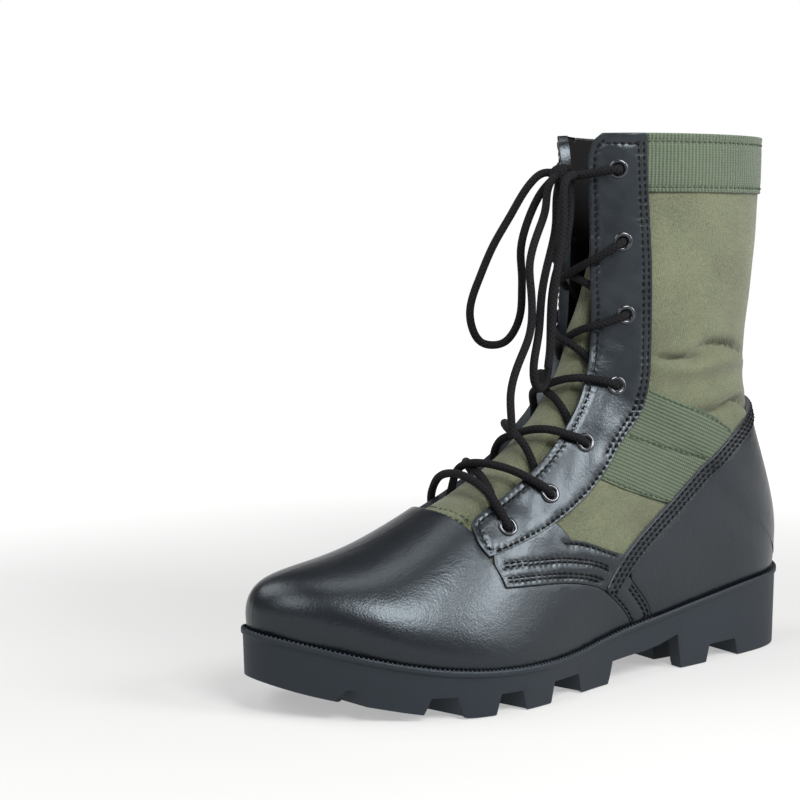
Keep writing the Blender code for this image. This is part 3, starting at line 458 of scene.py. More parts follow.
def slopes(t, v, side):
    """How the surface's point moves with t and with v."""
    e = 0.01
    t = np.clip(t, 0, 0.992)
    v = np.asarray(v, float)
    ta, tb = np.maximum(t - e, 0), np.minimum(t + e, 1)
    va, vb = np.maximum(v - e, 0), np.minimum(v + e, TOP_ROW)
    by_t = (surface(tb, v, side) - surface(ta, v, side)) / (tb - ta)[..., None]
    by_v = (surface(t, vb, side) - surface(t, va, side)) / (vb - va)[..., None]
    return by_t, by_v


def outward(t, v, side):
    """Unit normal of the upper's outer face."""
    t = np.asarray(t, float)
    v = np.asarray(v, float)
    by_t, by_v = slopes(t, v, side)
    n = np.cross(by_v, by_t) * -side
    seam = (t > 0.9995) & (v >= HEEL_ROW)
    n[..., 1] = np.where(seam, 0, n[..., 1])
    return n / np.linalg.norm(n, axis=-1, keepdims=True)


def on(t, v, side, lift=0.0):
    """Point at a height above the upper's outer face."""
    return surface(t, v, side) + outward(t, v, side) * np.asarray(lift, float)[..., None]


@lru_cache(maxsize=None)
def girths(side):
    """Tables for laying the upper out flat: length round at each section, length along."""
    vs = np.linspace(0, TOP_ROW, 341)
    ts = np.linspace(0, 1, 41)
    tt, vv = np.meshgrid(ts, vs)
    pts = surface(tt.ravel(), vv.ravel(), side).reshape(*tt.shape, 3)
    around = np.linalg.norm(np.diff(pts, axis=1), axis=2).sum(1)
    along = np.linalg.norm(np.diff(pts, axis=0), axis=2).mean(1)
    return vs, around, np.r_[0, np.cumsum(np.maximum(along, 0.2))]


def flat(tv, side):
    """Place on a flat layout in millimetres, for triangulating and for thread directions."""
    vs, around, along = girths(side)
    return np.stack([tv[:, 0] * np.interp(tv[:, 1], vs, around), np.interp(tv[:, 1], vs, along)], 1)


@lru_cache(maxsize=None)
def throat_table(side):
    """Share of the way round of the throat's edge at many sections."""
    vs = np.linspace(0, TOP_ROW, 341)
    ts = np.linspace(0, 0.6, 121)
    found = []
    for v in vs:
        pts = surface(ts, np.full(ts.shape, v), side)
        found.append(np.interp(throat_half(v), np.abs(pts[:, 1] - pts[0, 1]), ts))
    return vs, np.array(found)


def throat_t(v, side):
    """Throat's edge, with the facing's rounded corner at the collar."""
    vs, ts = throat_table(side)
    corner = np.clip((np.asarray(v, float) - 16.55) / 0.45, 0, 1)
    return np.interp(v, vs, ts) + 0.07 * (1 - np.sqrt(1 - 0.98 * corner ** 2))


def find(points, side):
    """Sections and shares of side-view points, and how far off each one is."""
    points = np.asarray(points, float)
    tt, vv = np.meshgrid(np.linspace(0.03, 1, 90), np.linspace(0, TOP_ROW, 300))
    tt, vv = tt.ravel(), vv.ravel()
    grid = surface(tt, vv, side)[:, [0, 2]]
    best = ((grid[None] - points[:, None]) ** 2).sum(2).argmin(1)
    t, v = tt[best], vv[best]
    for _ in range(8):
        miss = points - surface(t, v, side)[:, [0, 2]]
        by_t, by_v = (s[:, [0, 2]] for s in slopes(t, v, side))
        det = by_t[:, 0] * by_v[:, 1] - by_t[:, 1] * by_v[:, 0]
        det = np.where(np.abs(det) < 1e-6, 1e-6, det)
        dt = (miss[:, 0] * by_v[:, 1] - miss[:, 1] * by_v[:, 0]) / det
        dv = (by_t[:, 0] * miss[:, 1] - by_t[:, 1] * miss[:, 0]) / det
        t = np.clip(t + np.clip(dt, -0.05, 0.05), 0.01, 1)
        v = np.clip(v + np.clip(dv, -0.3, 0.3), 0, TOP_ROW)
    off = np.linalg.norm(points - surface(t, v, side)[:, [0, 2]], axis=1)
    return np.stack([t, v], 1), off


def trace(points, side, keep=None):
    """Curve on the upper under a side-view line, where the line meets the upper."""
    dist = lengths(np.asarray(points, float))[-1]
    run = route(points, max(8, int(dist / 1.5)))
    if keep is not None:
        run = np.array([p for p in run if keep(*p)])
    tv, off = find(run, side)
    return tv[off < 0.35]


def even(tv, side, step):
    """Curve with points a step apart."""
    dist = lengths(surface(tv[:, 0], tv[:, 1], side))
    count = max(1, int(round(dist[-1] / step)))
    return resample(tv, dist, np.linspace(0, dist[-1], count + 1))


def aside(tv, side, far, closed=False):
    """Curve moved sideways over the surface, to its left in side view."""
    pts = surface(tv[:, 0], tv[:, 1], side)
    way = np.roll(pts, -1, 0) - np.roll(pts, 1, 0) if closed else np.gradient(pts, axis=0)
    way /= np.maximum(np.linalg.norm(way, axis=1), 1e-9)[:, None]
    to_left = side * np.cross(way, outward(tv[:, 0], tv[:, 1], side)) * np.asarray(far)[..., None]
    by_t, by_v = slopes(tv[:, 0], tv[:, 1], side)
    aa, bb, ab = (by_t ** 2).sum(1), (by_v ** 2).sum(1), (by_t * by_v).sum(1)
    ra, rb = (by_t * to_left).sum(1), (by_v * to_left).sum(1)
    det = np.maximum(aa * bb - ab * ab, 1e-6)
    moved = tv + np.stack([(ra * bb - rb * ab) / det, (rb * aa - ra * ab) / det], 1)
    return np.stack([np.clip(moved[:, 0], 0, 1), np.clip(moved[:, 1], 0, TOP_ROW)], 1)


def rows_of(t, v):
    """Curve from matching shares and sections; either may be one number."""
    t, v = np.broadcast_arrays(np.asarray(t, float), np.asarray(v, float))
    return np.stack([t, v], 1)


def ring_of(side, curves, step):
    """Closed ring of points from curves that follow each other."""
    out = []
    for k, tv in enumerate(curves):
        nxt = curves[(k + 1) % len(curves)]
        out.append(even(tv, side, step)[:-1])
        jump = np.vstack([tv[-1:], nxt[:1]])
        ends = surface(jump[:, 0], jump[:, 1], side)
        if np.linalg.norm(ends[1] - ends[0]) > 0.3 * step:
            out.append(even(jump, side, step)[:-1])
    return np.vstack(out)


def on_seam(tv):
    """Points of a half that meet the other half, at the ridge or the back seam."""
    return (tv[:, 0] < 0.0005) | ((tv[:, 0] > 0.9995) & (tv[:, 1] >= HEEL_ROW - 1e-6))


def area(points):
    """Area inside a flat ring."""
    x, y = points.T
    return abs((x * np.roll(y, -1) - y * np.roll(x, -1)).sum()) / 2


def inset(tv, side, far):
    """Ring moved in by a distance, except along seams."""
    amount = np.where(on_seam(tv), 0.0, far)
    options = [aside(tv, side, amount * sign, True) for sign in (1, -1)]
    return min(options, key=lambda o: area(flat(o, side)))


def inside(points, ring):
    """Which flat points lie inside a flat ring."""
    hit = np.zeros(len(points), bool)
    for (xa, ya), (xb, yb) in zip(ring, np.roll(ring, -1, 0)):
        crosses = (ya > points[:, 1]) != (yb > points[:, 1])
        if crosses.any():
            at = (xb - xa) * (points[:, 1] - ya) / ((yb - ya) or 1e-12) + xa
            hit ^= crosses & (points[:, 0] < at)
    return hit


def tree_of(points):
    """Search tree over points."""
    points = np.asarray(points, float)
    if points.shape[1] == 2:
        points = np.pad(points, ((0, 0), (0, 1)))
    tree = kdtree.KDTree(len(points))
    for k, p in enumerate(points):
        tree.insert(p, k)
    tree.balance()
    return tree


def nearest(points, tree):
    """Distance to, and number of, the nearest point of a tree."""
    points = np.asarray(points, float)
    if points.shape[1] == 2:
        points = np.pad(points, ((0, 0), (0, 1)))
    got = [tree.find(p) for p in points]
    return np.array([g[2] for g in got]), np.array([g[1] for g in got], int)


def fill(ring, extra, step, holes=()):
    """Triangles inside a flat ring, with extra points, a grid of points and round holes."""
    low, high = ring.min(0), ring.max(0)
    xs = np.arange(low[0], high[0] + step, step)
    ys = np.arange(low[1], high[1] + step, step * 0.87)
    gx, gy = np.meshgrid(xs, ys)
    gx[1::2] += step / 2
    grid = np.stack([gx.ravel(), gy.ravel()], 1)
    grid = grid[inside(grid, ring)]
    fixed = [ring]
    if len(extra):
        extra = extra[inside(extra, ring)]
        extra = extra[nearest(extra, tree_of(ring))[0] > 0.35]
        fixed.append(extra)
    fixed += list(holes)
    kept = np.vstack(fixed)
    if len(grid):
        grid = grid[nearest(grid, tree_of(kept))[0] > 0.55 * step]
    points = np.vstack([kept, grid])
    edges = [(i, (i + 1) % len(ring)) for i in range(len(ring))]
    start = len(ring) + len(extra)
    for hole in holes:
        edges += [(start + i, start + (i + 1) % len(hole)) for i in range(len(hole))]
        start += len(hole)
    _, _, faces, origin, _, _ = delaunay_2d_cdt([Vector(p) for p in points], edges, [], 1, 1e-7)
    first = [o[0] if o else -1 for o in origin]
    tris = np.array([[first[i] for i in f] for f in faces if len(f) == 3], int)
    tris = tris[(tris >= 0).all(1)]
    for hole in holes:
        mid = points[tris].mean(1)
        tris = tris[~inside(mid, hole)]
    return points, tris


# Meshes


def build(name, verts, faces, materials, slots=None, uv=None, sharp=50.0):
    """Mesh object from millimetres, smooth apart from sharp edges."""
    mesh = bpy.data.meshes.new(name)
    mesh.from_pydata((np.asarray(verts) * MM).tolist(), [], [list(map(int, f)) for f in faces])
    for m in materials:
        mesh.materials.append(m)
    if slots is not None:
        mesh.polygons.foreach_set("material_index", np.asarray(slots, np.int32))
    if uv is not None:
        layer = mesh.uv_layers.new(name="UVMap")
        index = np.empty(len(mesh.loops), np.int32)
        mesh.loops.foreach_get("vertex_index", index)
        layer.data.foreach_set("uv", (np.asarray(uv)[index] * MM).astype(np.float32).ravel())
    mesh.polygons.foreach_set("use_smooth", np.ones(len(mesh.polygons), bool))
    mesh.validate()
    mesh.update()
    mesh.set_sharp_from_angle(angle=math.radians(sharp))
    obj = bpy.data.objects.new(name, mesh)
    bpy.context.scene.collection.objects.link(obj)
    return obj


def reshape(obj, change):
    """Take a piece's mesh through one change."""
    bm = bmesh.new()
    bm.from_mesh(obj.data)
    change(bm)
    bm.to_mesh(obj.data)
    bm.free()
    obj.data.update()
    return obj


def weld(obj, far=0.004):
    """Join points of a piece that lie on one spot."""
    return reshape(obj, lambda bm: bmesh.ops.remove_doubles(bm, verts=bm.verts, dist=far * MM))


def turn_out(obj):
    """Turn all faces of a closed piece outward."""
    return reshape(obj, lambda bm: bmesh.ops.recalc_face_normals(bm, faces=bm.faces))


def facing_out(tris, points, nor):
    """Triangles turned so that they face along the normals."""
    a, b, c = (points[tris[:, k]] for k in range(3))
    turned = (np.cross(b - a, c - a) * nor[tris[:, 0]]).sum(1) < 0
    return np.where(turned[:, None], tris[:, ::-1], tris)


def rim_edges(tris, seam):
    """Edges with a triangle on one side only, apart from those on a seam."""
    used = {(f[k], f[(k + 1) % 3]): True for f in tris for k in range(3)}
    return [(p, q) for p, q in used if (q, p) not in used and not (seam[p] and seam[q])]


def ring_loops(ring, way, steps, inward=0.0):
    """Rings along the edge of the sole, each so far out and so high above the feather line."""
    out = []
    for far, rise in steps:
        xy = ring + way * (far - inward)
        out.append(np.column_stack([xy, feather_z(xy[:, 0]) + rise]))
    return out


def stack(name, loops, top, bottom, mat, sharp=50.0):
    """Closed solid of rings from the top down; top and bottom give height, extra points and step of a cap."""
    count = len(loops[0])
    verts = list(loops)
    faces = []
    for k in range(len(loops) - 1):
        for i in range(count):
            j = (i + 1) % count
            faces.append((k * count + i, (k + 1) * count + i, (k + 1) * count + j, k * count + j))
    base = len(loops) * count
    for first, up, (height, extra, step) in ((0, True, top), ((len(loops) - 1) * count, False, bottom)):
        points, tris = fill((loops[0] if up else loops[-1])[:, :2], extra, step)
        inner = points[count:]
        verts.append(np.column_stack([inner, height(inner[:, 0], inner[:, 1])]))
        index = np.r_[np.arange(first, first + count), np.arange(base, base + len(inner))]
        base += len(inner)
        for f in tris:
            a, b, c = points[f]
            ccw = (b[0] - a[0]) * (c[1] - a[1]) - (b[1] - a[1]) * (c[0] - a[0]) > 0
            faces.append(tuple(index[f] if ccw == up else index[f[::-1]]))
    return turn_out(build(name, np.vstack(verts), faces, [mat], sharp=sharp))


def ride(obj, slot, *nodes):
    """The piece goes with the boot, in place of CAD nodes."""
    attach(obj, "root")
    if nodes:
        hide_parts(*nodes)
    return obj


def fold_lift(points, side):
    """Height of the listed folds at points of the canvas."""
    lift = np.zeros(len(points))
    if side < 0:
        return lift
    for run, depth, half in FOLDS:
        line = route(run, 60)
        dist, k = nearest(points[:, [0, 2]], tree_of(line))
        fade = np.sin(math.pi * np.clip(k / (len(line) - 1), 0.02, 0.98)) ** FOLD_FADE
        lift += depth * fade * np.exp(-(dist / half) ** 2)
    return lift


def ease(points, nor, far):
    """Lift that rounds the bend of the surface along the section at the heel."""
    tree = tree_of(points)
    seam = tree_of(surface(np.linspace(0, 1, 120), np.full(120, float(HEEL_ROW)), 1))
    away, _ = nearest(np.abs(points) * (0, 1, 0) + points * (1, 0, 1), seam)
    lift = np.zeros(len(points))
    for i in np.nonzero(away < 1.6 * far)[0]:
        around = np.mean([hit[0] for hit in tree.find_range(points[i], far)], axis=0)
        lift[i] = (around - points[i]) @ nor[i] * math.exp(-(away[i] / far) ** 2)
    return lift


def swell(points, size, seed):
    """Gentle unevenness from a few crossing waves, about one high."""
    out = np.zeros(len(points))
    turn = np.random.default_rng(seed)
    for _ in range(6):
        way = turn.normal(size=3)
        way *= 2 * math.pi / (size * turn.uniform(0.7, 1.5) * np.linalg.norm(way))
        out += np.sin(points @ way + turn.uniform(0, 6.3))
    return out / 3


def groove(points, rows, deep, half, pitch):
    """Dip along stitch rows, deeper at each needle hole."""
    if not rows:
        return np.zeros(len(points))
    line = np.vstack(rows)
    along = np.hstack([lengths(r) for r in rows])
    dist, k = nearest(points, tree_of(line))
    hole = 1 - HOLE_SHARE + HOLE_SHARE * np.cos(2 * math.pi * along[k] / pitch)
    return -deep * hole * np.exp(-(dist / half) ** 2)


def half_sheet(side, curves, step, rim, rows=(), holes=(), layout=None):
    """Half of a panel: shares and sections of its points, triangles, layout of its threads."""
    ring = ring_of(side, curves, min(step, 1.3))
    if rim:
        ring = inset(ring, side, rim)
    support = [np.zeros((0, 2))]
    for tv in rows:
        for far in (-ROW_SUPPORT, 0.0, ROW_SUPPORT):
            support.append(even(aside(tv, side, np.full(len(tv), far)), side, ROW_SUPPORT))
    extra = np.vstack(support)
    loops = [flat(h, side) for h in holes]
    points, tris = fill(flat(ring, side), flat(extra, side), step, loops)
    vs, around, along = girths(side)
    v = np.interp(points[:, 1], along, vs)
    t = np.clip(points[:, 0] / np.interp(v, vs, around), 0, 1)
    tv = np.stack([t, v], 1)
    tv[:len(ring)] = ring
    seam = np.zeros(len(tv), bool)
    seam[:len(ring)] = on_seam(ring)
    uv = points if layout is None else layout(surface(tv[:, 0], tv[:, 1], side), points)
    return {"side": side, "tv": tv, "tris": tris, "uv": uv, "seam": seam,
            "rows": [surface(r[:, 0], r[:, 1], side) for r in (even(tv, side, 0.5) for tv in rows)]}


def circle(t, v, side, radius, count=20):
    """Round ring on the surface about a place."""
    by_t, by_v = slopes(np.array([t]), np.array([v]), side)
    e1 = by_t[0] / np.linalg.norm(by_t[0])
    n = outward(t, v, side)
    e2 = np.cross(n, e1)
    out = []
    for k in range(count):
        a = 2 * math.pi * k / count
        want = radius * (math.cos(a) * e1 + math.sin(a) * e2)
        m = np.stack([by_t[0], by_v[0]], 1)
        out.append(np.array([t, v]) + np.linalg.lstsq(m, want, rcond=None)[0])
    return np.array(out)


def panel(name, halves, high, materials, rim=0.5, lift=None, edge_low=None, deep=0.7):
    """Closed panel over the upper: top sheet with stitch grooves, rounded rim, underside."""
    pitch = sizes()["pitch"]
    verts, faces, slots, uvs = [], [], [], []
    for half in halves:
        side, tv, tris = half["side"], half["tv"], half["tris"]
        base = surface(tv[:, 0], tv[:, 1], side)
        nor = outward(tv[:, 0], tv[:, 1], side)
        rise = high + groove(base, half["rows"], deep, GROOVE_HALF, pitch)
        if lift is not None:
            rise = rise + lift(base, side, tv)
        tris = facing_out(tris, base, nor)
        count = len(tv)
        shift = sum(len(v) for v in verts)
        border = rim_edges(tris, half["seam"])
        out = np.zeros((count, 3))
        for p, q in border:
            way = np.cross(base[q] - base[p], nor[p] + nor[q])
            way /= max(np.linalg.norm(way), 1e-9)
            out[p] += way
            out[q] += way
        out /= np.maximum(np.linalg.norm(out, axis=1), 1e-9)[:, None]
        out[half["seam"], 1] = 0
        under = np.full(count, UNDERSIDE)
        used = np.array(sorted({p for pair in border for p in pair}), int)
        if edge_low is not None:
            under[used] = edge_low(tv[used], side)
        top = base + nor * rise[:, None]
        bottom = base + out * (RIM_UNDER * rim) + nor * under[:, None]
        loops = [top]
        for angle in RIM_ANGLES:
            s, drop = math.sin(math.radians(angle)), 1 - math.cos(math.radians(angle))
            loops.append(base + out * (rim * s) + nor * (rise - rim * drop)[:, None])
        loops.append(bottom)
        spot = {int(p): k for k, p in enumerate(used)}
        blocks = [top] + [l[used] for l in loops[1:-1]] + [bottom]
        starts = np.cumsum([0] + [len(x) for x in blocks])[:-1] + shift
        verts += blocks
        uvs += [half["uv"]] + [half["uv"][used]] * 3 + [half["uv"]]
        faces += [tuple(f + starts[0]) for f in tris] + [tuple(f[::-1] + starts[-1]) for f in tris]
        slots += [0] * (2 * len(tris))

        def index(loop, p):
            if loop == 0:
                return starts[0] + p
            if loop == len(blocks) - 1:
                return starts[-1] + p
            return starts[loop] + spot[int(p)]
        for p, q in border:
            for k in range(len(blocks) - 1):
                faces.append((index(k, p), index(k + 1, p), index(k + 1, q), index(k, q)))
                slots.append(len(materials) - 1 if k == len(blocks) - 2 else 0)
    return weld(build(name, np.vstack(verts), faces, materials, slots, np.vstack(uvs)))


def tube(name, path, radius, mat, sides=12):
    """Closed round tube along a path, laid out flat along its length for a braid."""
    path = np.asarray(path, float)
    way = np.gradient(path, axis=0)
    way /= np.linalg.norm(way, axis=1)[:, None]
    side = np.cross(way[0], (0.31, 0.57, 0.76))
    frames = []
    for w in way:
        side = side - w * (side @ w)
        side /= np.linalg.norm(side)
        frames.append((side, np.cross(w, side)))
    dist = lengths(path)
    angles = np.linspace(0, 2 * math.pi, sides + 1)
    verts, uv = [], []
    rings = [(0, 0.55, -0.45 * radius)] + [(k, 1.0, 0.0) for k in range(len(path))]
    rings += [(len(path) - 1, 0.55, 0.45 * radius)]
    for k, scale, push in rings:
        a, b = frames[k]
        for ang in angles:
            verts.append(path[k] + way[k] * push + (a * math.cos(ang) + b * math.sin(ang)) * radius * scale)
            uv.append((ang * radius, dist[k] + push))
    n = sides + 1
    faces = []
    for k in range(len(rings) - 1):
        for i in range(sides):
            faces.append((k * n + i, k * n + i + 1, (k + 1) * n + i + 1, (k + 1) * n + i))
    last = (len(rings) - 1) * n
    faces.append(tuple(range(sides - 1, -1, -1)))
    faces.append(tuple(range(last, last + sides)))
    return weld(build(name, verts, faces, [mat], uv=uv, sharp=60))


# Node trees


def add(tree, kind, links=None, **settings):
    """Add a node with its settings; links gives each input a value or another node's output."""
    made = tree.nodes.new(kind)
    for key, value in settings.items():
        setattr(made, key, value)
    for key, value in (links or {}).items():
        if isinstance(value, bpy.types.NodeSocket):
            tree.links.new(value, made.inputs[key])
        else:
            made.inputs[key].default_value = value
    return made


def instance_tree(name, shape):
    """Geometry nodes that set one small shape on every point, turned by its axis and way."""
    tree = bpy.data.node_groups.new(name, "GeometryNodeTree")
    face = tree.interface
    face.new_socket("Geometry", in_out="INPUT", socket_type="NodeSocketGeometry")
    for label in ("Length", "Width", "Height"):
        face.new_socket(label, in_out="INPUT", socket_type="NodeSocketFloat")
    face.new_socket("Material", in_out="INPUT", socket_type="NodeSocketMaterial")
    face.new_socket("Geometry", in_out="OUTPUT", socket_type="NodeSocketGeometry")
    given = add(tree, "NodeGroupInput")
    one = shape(tree, given)
    axis = add(tree, "GeometryNodeInputNamedAttribute", {"Name": "axis"}, data_type="FLOAT_VECTOR")
    way = add(tree, "GeometryNodeInputNamedAttribute", {"Name": "way"}, data_type="FLOAT_VECTOR")
    up = add(tree, "FunctionNodeAlignRotationToVector", {"Vector": axis.outputs[0]}, axis="Z")
    turn = add(tree, "FunctionNodeAlignRotationToVector",
               {"Rotation": up.outputs[0], "Vector": way.outputs[0]}, axis="X", pivot_axis="Z")
    spots = add(tree, "GeometryNodeInstanceOnPoints",
                {"Points": given.outputs["Geometry"], "Instance": one, "Rotation": turn.outputs[0]})
    real = add(tree, "GeometryNodeRealizeInstances", {"Geometry": spots.outputs[0]})
    soft = add(tree, "GeometryNodeSetShadeSmooth", {"Geometry": real.outputs[0]})
    painted = add(tree, "GeometryNodeSetMaterial",
                  {"Geometry": soft.outputs[0], "Material": given.outputs["Material"]})
    add(tree, "NodeGroupOutput", {"Geometry": painted.outputs[0]})
    return tree


def stitch_shape(tree, given):
    """A stitch: a short rounded length of thread."""
    scale = add(tree, "ShaderNodeCombineXYZ", {"X": given.outputs["Length"], "Y": given.outputs["Width"],
                                               "Z": given.outputs["Height"]})
    ball = add(tree, "GeometryNodeMeshUVSphere", {"Segments": 8, "Rings": 6, "Radius": 0.5})
    return add(tree, "GeometryNodeTransform",
               {"Geometry": ball.outputs[0], "Scale": scale.outputs[0]}).outputs[0]


def eyelet_shape(tree, given):
    """A rolled eyelet: a flattened ring, Length to the middle of the roll and Width across it."""
    ring, roll = (add(tree, "GeometryNodeCurvePrimitiveCircle",
                      {"Resolution": count, "Radius": given.outputs[size]})
                  for count, size in ((40, "Length"), (14, "Width")))
    swept = add(tree, "GeometryNodeCurveToMesh", {"Curve": ring.outputs[0], "Profile Curve": roll.outputs[0]})
    squeeze = add(tree, "ShaderNodeCombineXYZ", {"X": 1.0, "Y": 1.0, "Z": given.outputs["Height"]})
    return add(tree, "GeometryNodeTransform",
               {"Geometry": swept.outputs[0], "Scale": squeeze.outputs[0]}).outputs[0]


def set_on(places, lift):
    """Spots, axes and ways of small pieces at places given by side, t and v, a height above the upper."""
    spots, axes, ways = [], [], []
    for side, t, v in places:
        axis = outward(t, v, side)
        spots.append(surface(t, v, side) + axis * lift)
        axes.append(axis)
        ways.append(slopes(np.array([t]), np.array([v]), side)[1][0])
    return spots, axes, ways


def scatter(name, spots, axes, ways, shape, length, width, height, mat):
    """One plain mesh of a small shape set on many points; sizes in metres."""
    mesh = bpy.data.meshes.new(name)
    mesh.from_pydata((np.asarray(spots) * MM).tolist(), [], [])
    for label, values in (("axis", axes), ("way", ways)):
        layer = mesh.attributes.new(label, "FLOAT_VECTOR", "POINT")
        layer.data.foreach_set("vector", np.asarray(values, np.float32).ravel())
    obj = bpy.data.objects.new(name, mesh)
    bpy.context.scene.collection.objects.link(obj)
    tree = instance_tree(name + "_nodes", shape)
    step = obj.modifiers.new("instances", "NODES")
    step.node_group = tree
    given = {"Length": length, "Width": width, "Height": height, "Material": mat}
    for item in tree.interface.items_tree:
        if item.in_out == "INPUT" and item.name in given:
            step[item.identifier] = given[item.name]
    graph = bpy.context.evaluated_depsgraph_get()
    done = bpy.data.meshes.new_from_object(obj.evaluated_get(graph))
    obj.modifiers.clear()
    obj.data = done
    bpy.data.meshes.remove(mesh)
    if not len(done.polygons):
        raise RuntimeError(name + " came out empty")
    return obj


# Materials


def blank(name, base, rough, **sockets):
    """New Principled material, with its node tree and its shader; socket names have _ for a space."""
    mat = bpy.data.materials.new(name)
    mat.use_nodes = True
    tree = mat.node_tree
    shader = tree.nodes["Principled BSDF"]
    shader.inputs["Base Color"].default_value = base
    shader.inputs["Roughness"].default_value = rough
    for key, value in sockets.items():
        shader.inputs[key.replace("_", " ")].default_value = value
    return mat, tree, shader


def per(size):
    """Noise scale for features of so many millimetres."""
    return 1 / (size * MM)


def bands(size):
    """Wave scale for bands that repeat every so many millimetres."""
    return math.pi / 10 / (size * MM)


def tint(base, amount):
    """A colour made lighter or darker."""
    return (*(min(1.0, c * amount) for c in base[:3]), 1.0)


@lru_cache(maxsize=None)
def leather_black():
    """Full-grain leather, dyed and finished: soft broad gloss, faint grain, slightly uneven."""
    base = colour("leather")
    mat, tree, shader = blank("leather_full_grain_finished", base, 0.32, IOR=1.52,
                              Specular_Tint=(0.8, 0.92, 1.0, 1.0))
    where = add(tree, "ShaderNodeTexCoord").outputs["Object"]
    # Patches of deeper and greyer finish about 18 mm across
    cloud = add(tree, "ShaderNodeTexNoise", {"Vector": where, "Scale": per(18), "Detail": 4.0})
    shade = add(tree, "ShaderNodeValToRGB", {"Fac": cloud.outputs["Fac"]})
    shade.color_ramp.elements[0].color = tint(base, 0.75)
    shade.color_ramp.elements[1].color = tint(base, 1.35)
    tree.links.new(shade.outputs[0], shader.inputs["Base Color"])
    rough = add(tree, "ShaderNodeMapRange", {"Value": cloud.outputs["Fac"], "To Min": 0.28, "To Max": 0.38})
    tree.links.new(rough.outputs[0], shader.inputs["Roughness"])
    # Grain cells of 0.9 mm, then wrinkles of 7 mm
    grain = add(tree, "ShaderNodeTexVoronoi", {"Vector": where, "Scale": per(0.9)}, feature="SMOOTH_F1")
    fine = add(tree, "ShaderNodeBump", {"Height": grain.outputs["Distance"], "Strength": 0.16,
                                        "Distance": 0.0004})
    wave = add(tree, "ShaderNodeTexNoise", {"Vector": where, "Scale": per(7), "Detail": 2.0})
    soft = add(tree, "ShaderNodeBump", {"Height": wave.outputs["Fac"], "Strength": 0.08,
                                        "Distance": 0.002, "Normal": fine.outputs[0]})
    tree.links.new(soft.outputs[0], shader.inputs["Normal"])
    return mat


@lru_cache(maxsize=None)
def leather_edge():
    """Cut leather edge: pale, fibrous, dull."""
    base = colour("raw")
    mat, tree, shader = blank("leather_cut_edge", base, 0.7)
    where = add(tree, "ShaderNodeTexCoord").outputs["Object"]
    fibre = add(tree, "ShaderNodeTexNoise", {"Vector": where, "Scale": per(1.2), "Detail": 3.0})
    shade = add(tree, "ShaderNodeValToRGB", {"Fac": fibre.outputs["Fac"]})
    shade.color_ramp.elements[0].color = tint(base, 0.35)
    shade.color_ramp.elements[1].color = tint(base, 1.2)
    tree.links.new(shade.outputs[0], shader.inputs["Base Color"])
    return mat


def cloth(name, base, along, across, deep, slub, shares, contrast, rough=0.92):
    """Woven cloth: crossing threads read from the piece's own layout, uneven yarn, faint fading."""
    mat, tree, shader = blank(name, base, rough, Sheen_Weight=0.12, Sheen_Roughness=0.5)
    uv = add(tree, "ShaderNodeUVMap", uv_map="UVMap").outputs[0]
    threads = [add(tree, "ShaderNodeTexWave", {"Vector": uv, "Scale": bands(size), "Distortion": slub,
                                               "Detail": 1.0, "Detail Scale": 1.5}, bands_direction=way)
               for size, way in ((along, "X"), (across, "Y"))]
    warp = add(tree, "ShaderNodeMath", {0: threads[0].outputs["Fac"], 1: shares[0]}, operation="MULTIPLY")
    weave = add(tree, "ShaderNodeMath", {0: threads[1].outputs["Fac"], 1: shares[1], 2: warp.outputs[0]},
                operation="MULTIPLY_ADD")
    where = add(tree, "ShaderNodeTexCoord").outputs["Object"]
    cloud = add(tree, "ShaderNodeTexNoise", {"Vector": where, "Scale": per(30), "Detail": 3.0})
    yarn = add(tree, "ShaderNodeTexNoise", {"Vector": where, "Scale": per(0.8), "Detail": 3.0,
                                            "Roughness": 0.7})
    mixed = add(tree, "ShaderNodeMath", {0: cloud.outputs["Fac"], 1: 0.4, 2: yarn.outputs["Fac"]},
                operation="MULTIPLY_ADD")
    thread = add(tree, "ShaderNodeMath", {0: weave.outputs[0], 1: contrast, 2: mixed.outputs[0]},
                 operation="MULTIPLY_ADD")
    shade = add(tree, "ShaderNodeMapRange", {"Value": thread.outputs[0], "From Min": 0.35,
                                             "From Max": 1.05 + contrast, "To Min": 0.15, "To Max": 1.85})
    tinted = add(tree, "ShaderNodeVectorMath", {0: base[:3], "Scale": shade.outputs[0]}, operation="SCALE")
    tree.links.new(tinted.outputs[0], shader.inputs["Base Color"])
    bump = add(tree, "ShaderNodeBump", {"Height": weave.outputs[0], "Strength": 0.6, "Distance": deep * MM})
    rough_bump = add(tree, "ShaderNodeBump", {"Height": yarn.outputs["Fac"], "Strength": 0.35,
                                              "Distance": 0.0004, "Normal": bump.outputs[0]})
    tree.links.new(rough_bump.outputs[0], shader.inputs["Normal"])
    return mat


@lru_cache(maxsize=None)
def canvas_olive():
    """Plain-weave canvas. Its 0.5 mm threads are drawn 0.9 mm apart so that they show."""
    return cloth("canvas_plain_weave", colour("canvas"), 0.9, 0.9, 0.25, 1.5, (0.5, 0.5), 0.2)


@lru_cache(maxsize=None)
def canvas_inside_shaded():
    """The same canvas inside, painted darker as the shade inside the boot."""
    return cloth("canvas_inside_shaded", tint(colour("canvas"), 0.55), 0.9, 0.9, 0.25, 1.5, (0.5, 0.5), 0.2)


@lru_cache(maxsize=None)
def webbing_green():
    """Nylon webbing: strong ribs of 1.75 mm along it, faint threads of 1.2 mm across, slightly shiny."""
    return cloth("nylon_webbing_woven", colour("webbing"), 1.75, 1.2, 0.6, 0.3, (0.75, 0.25), 0.9, 0.8)


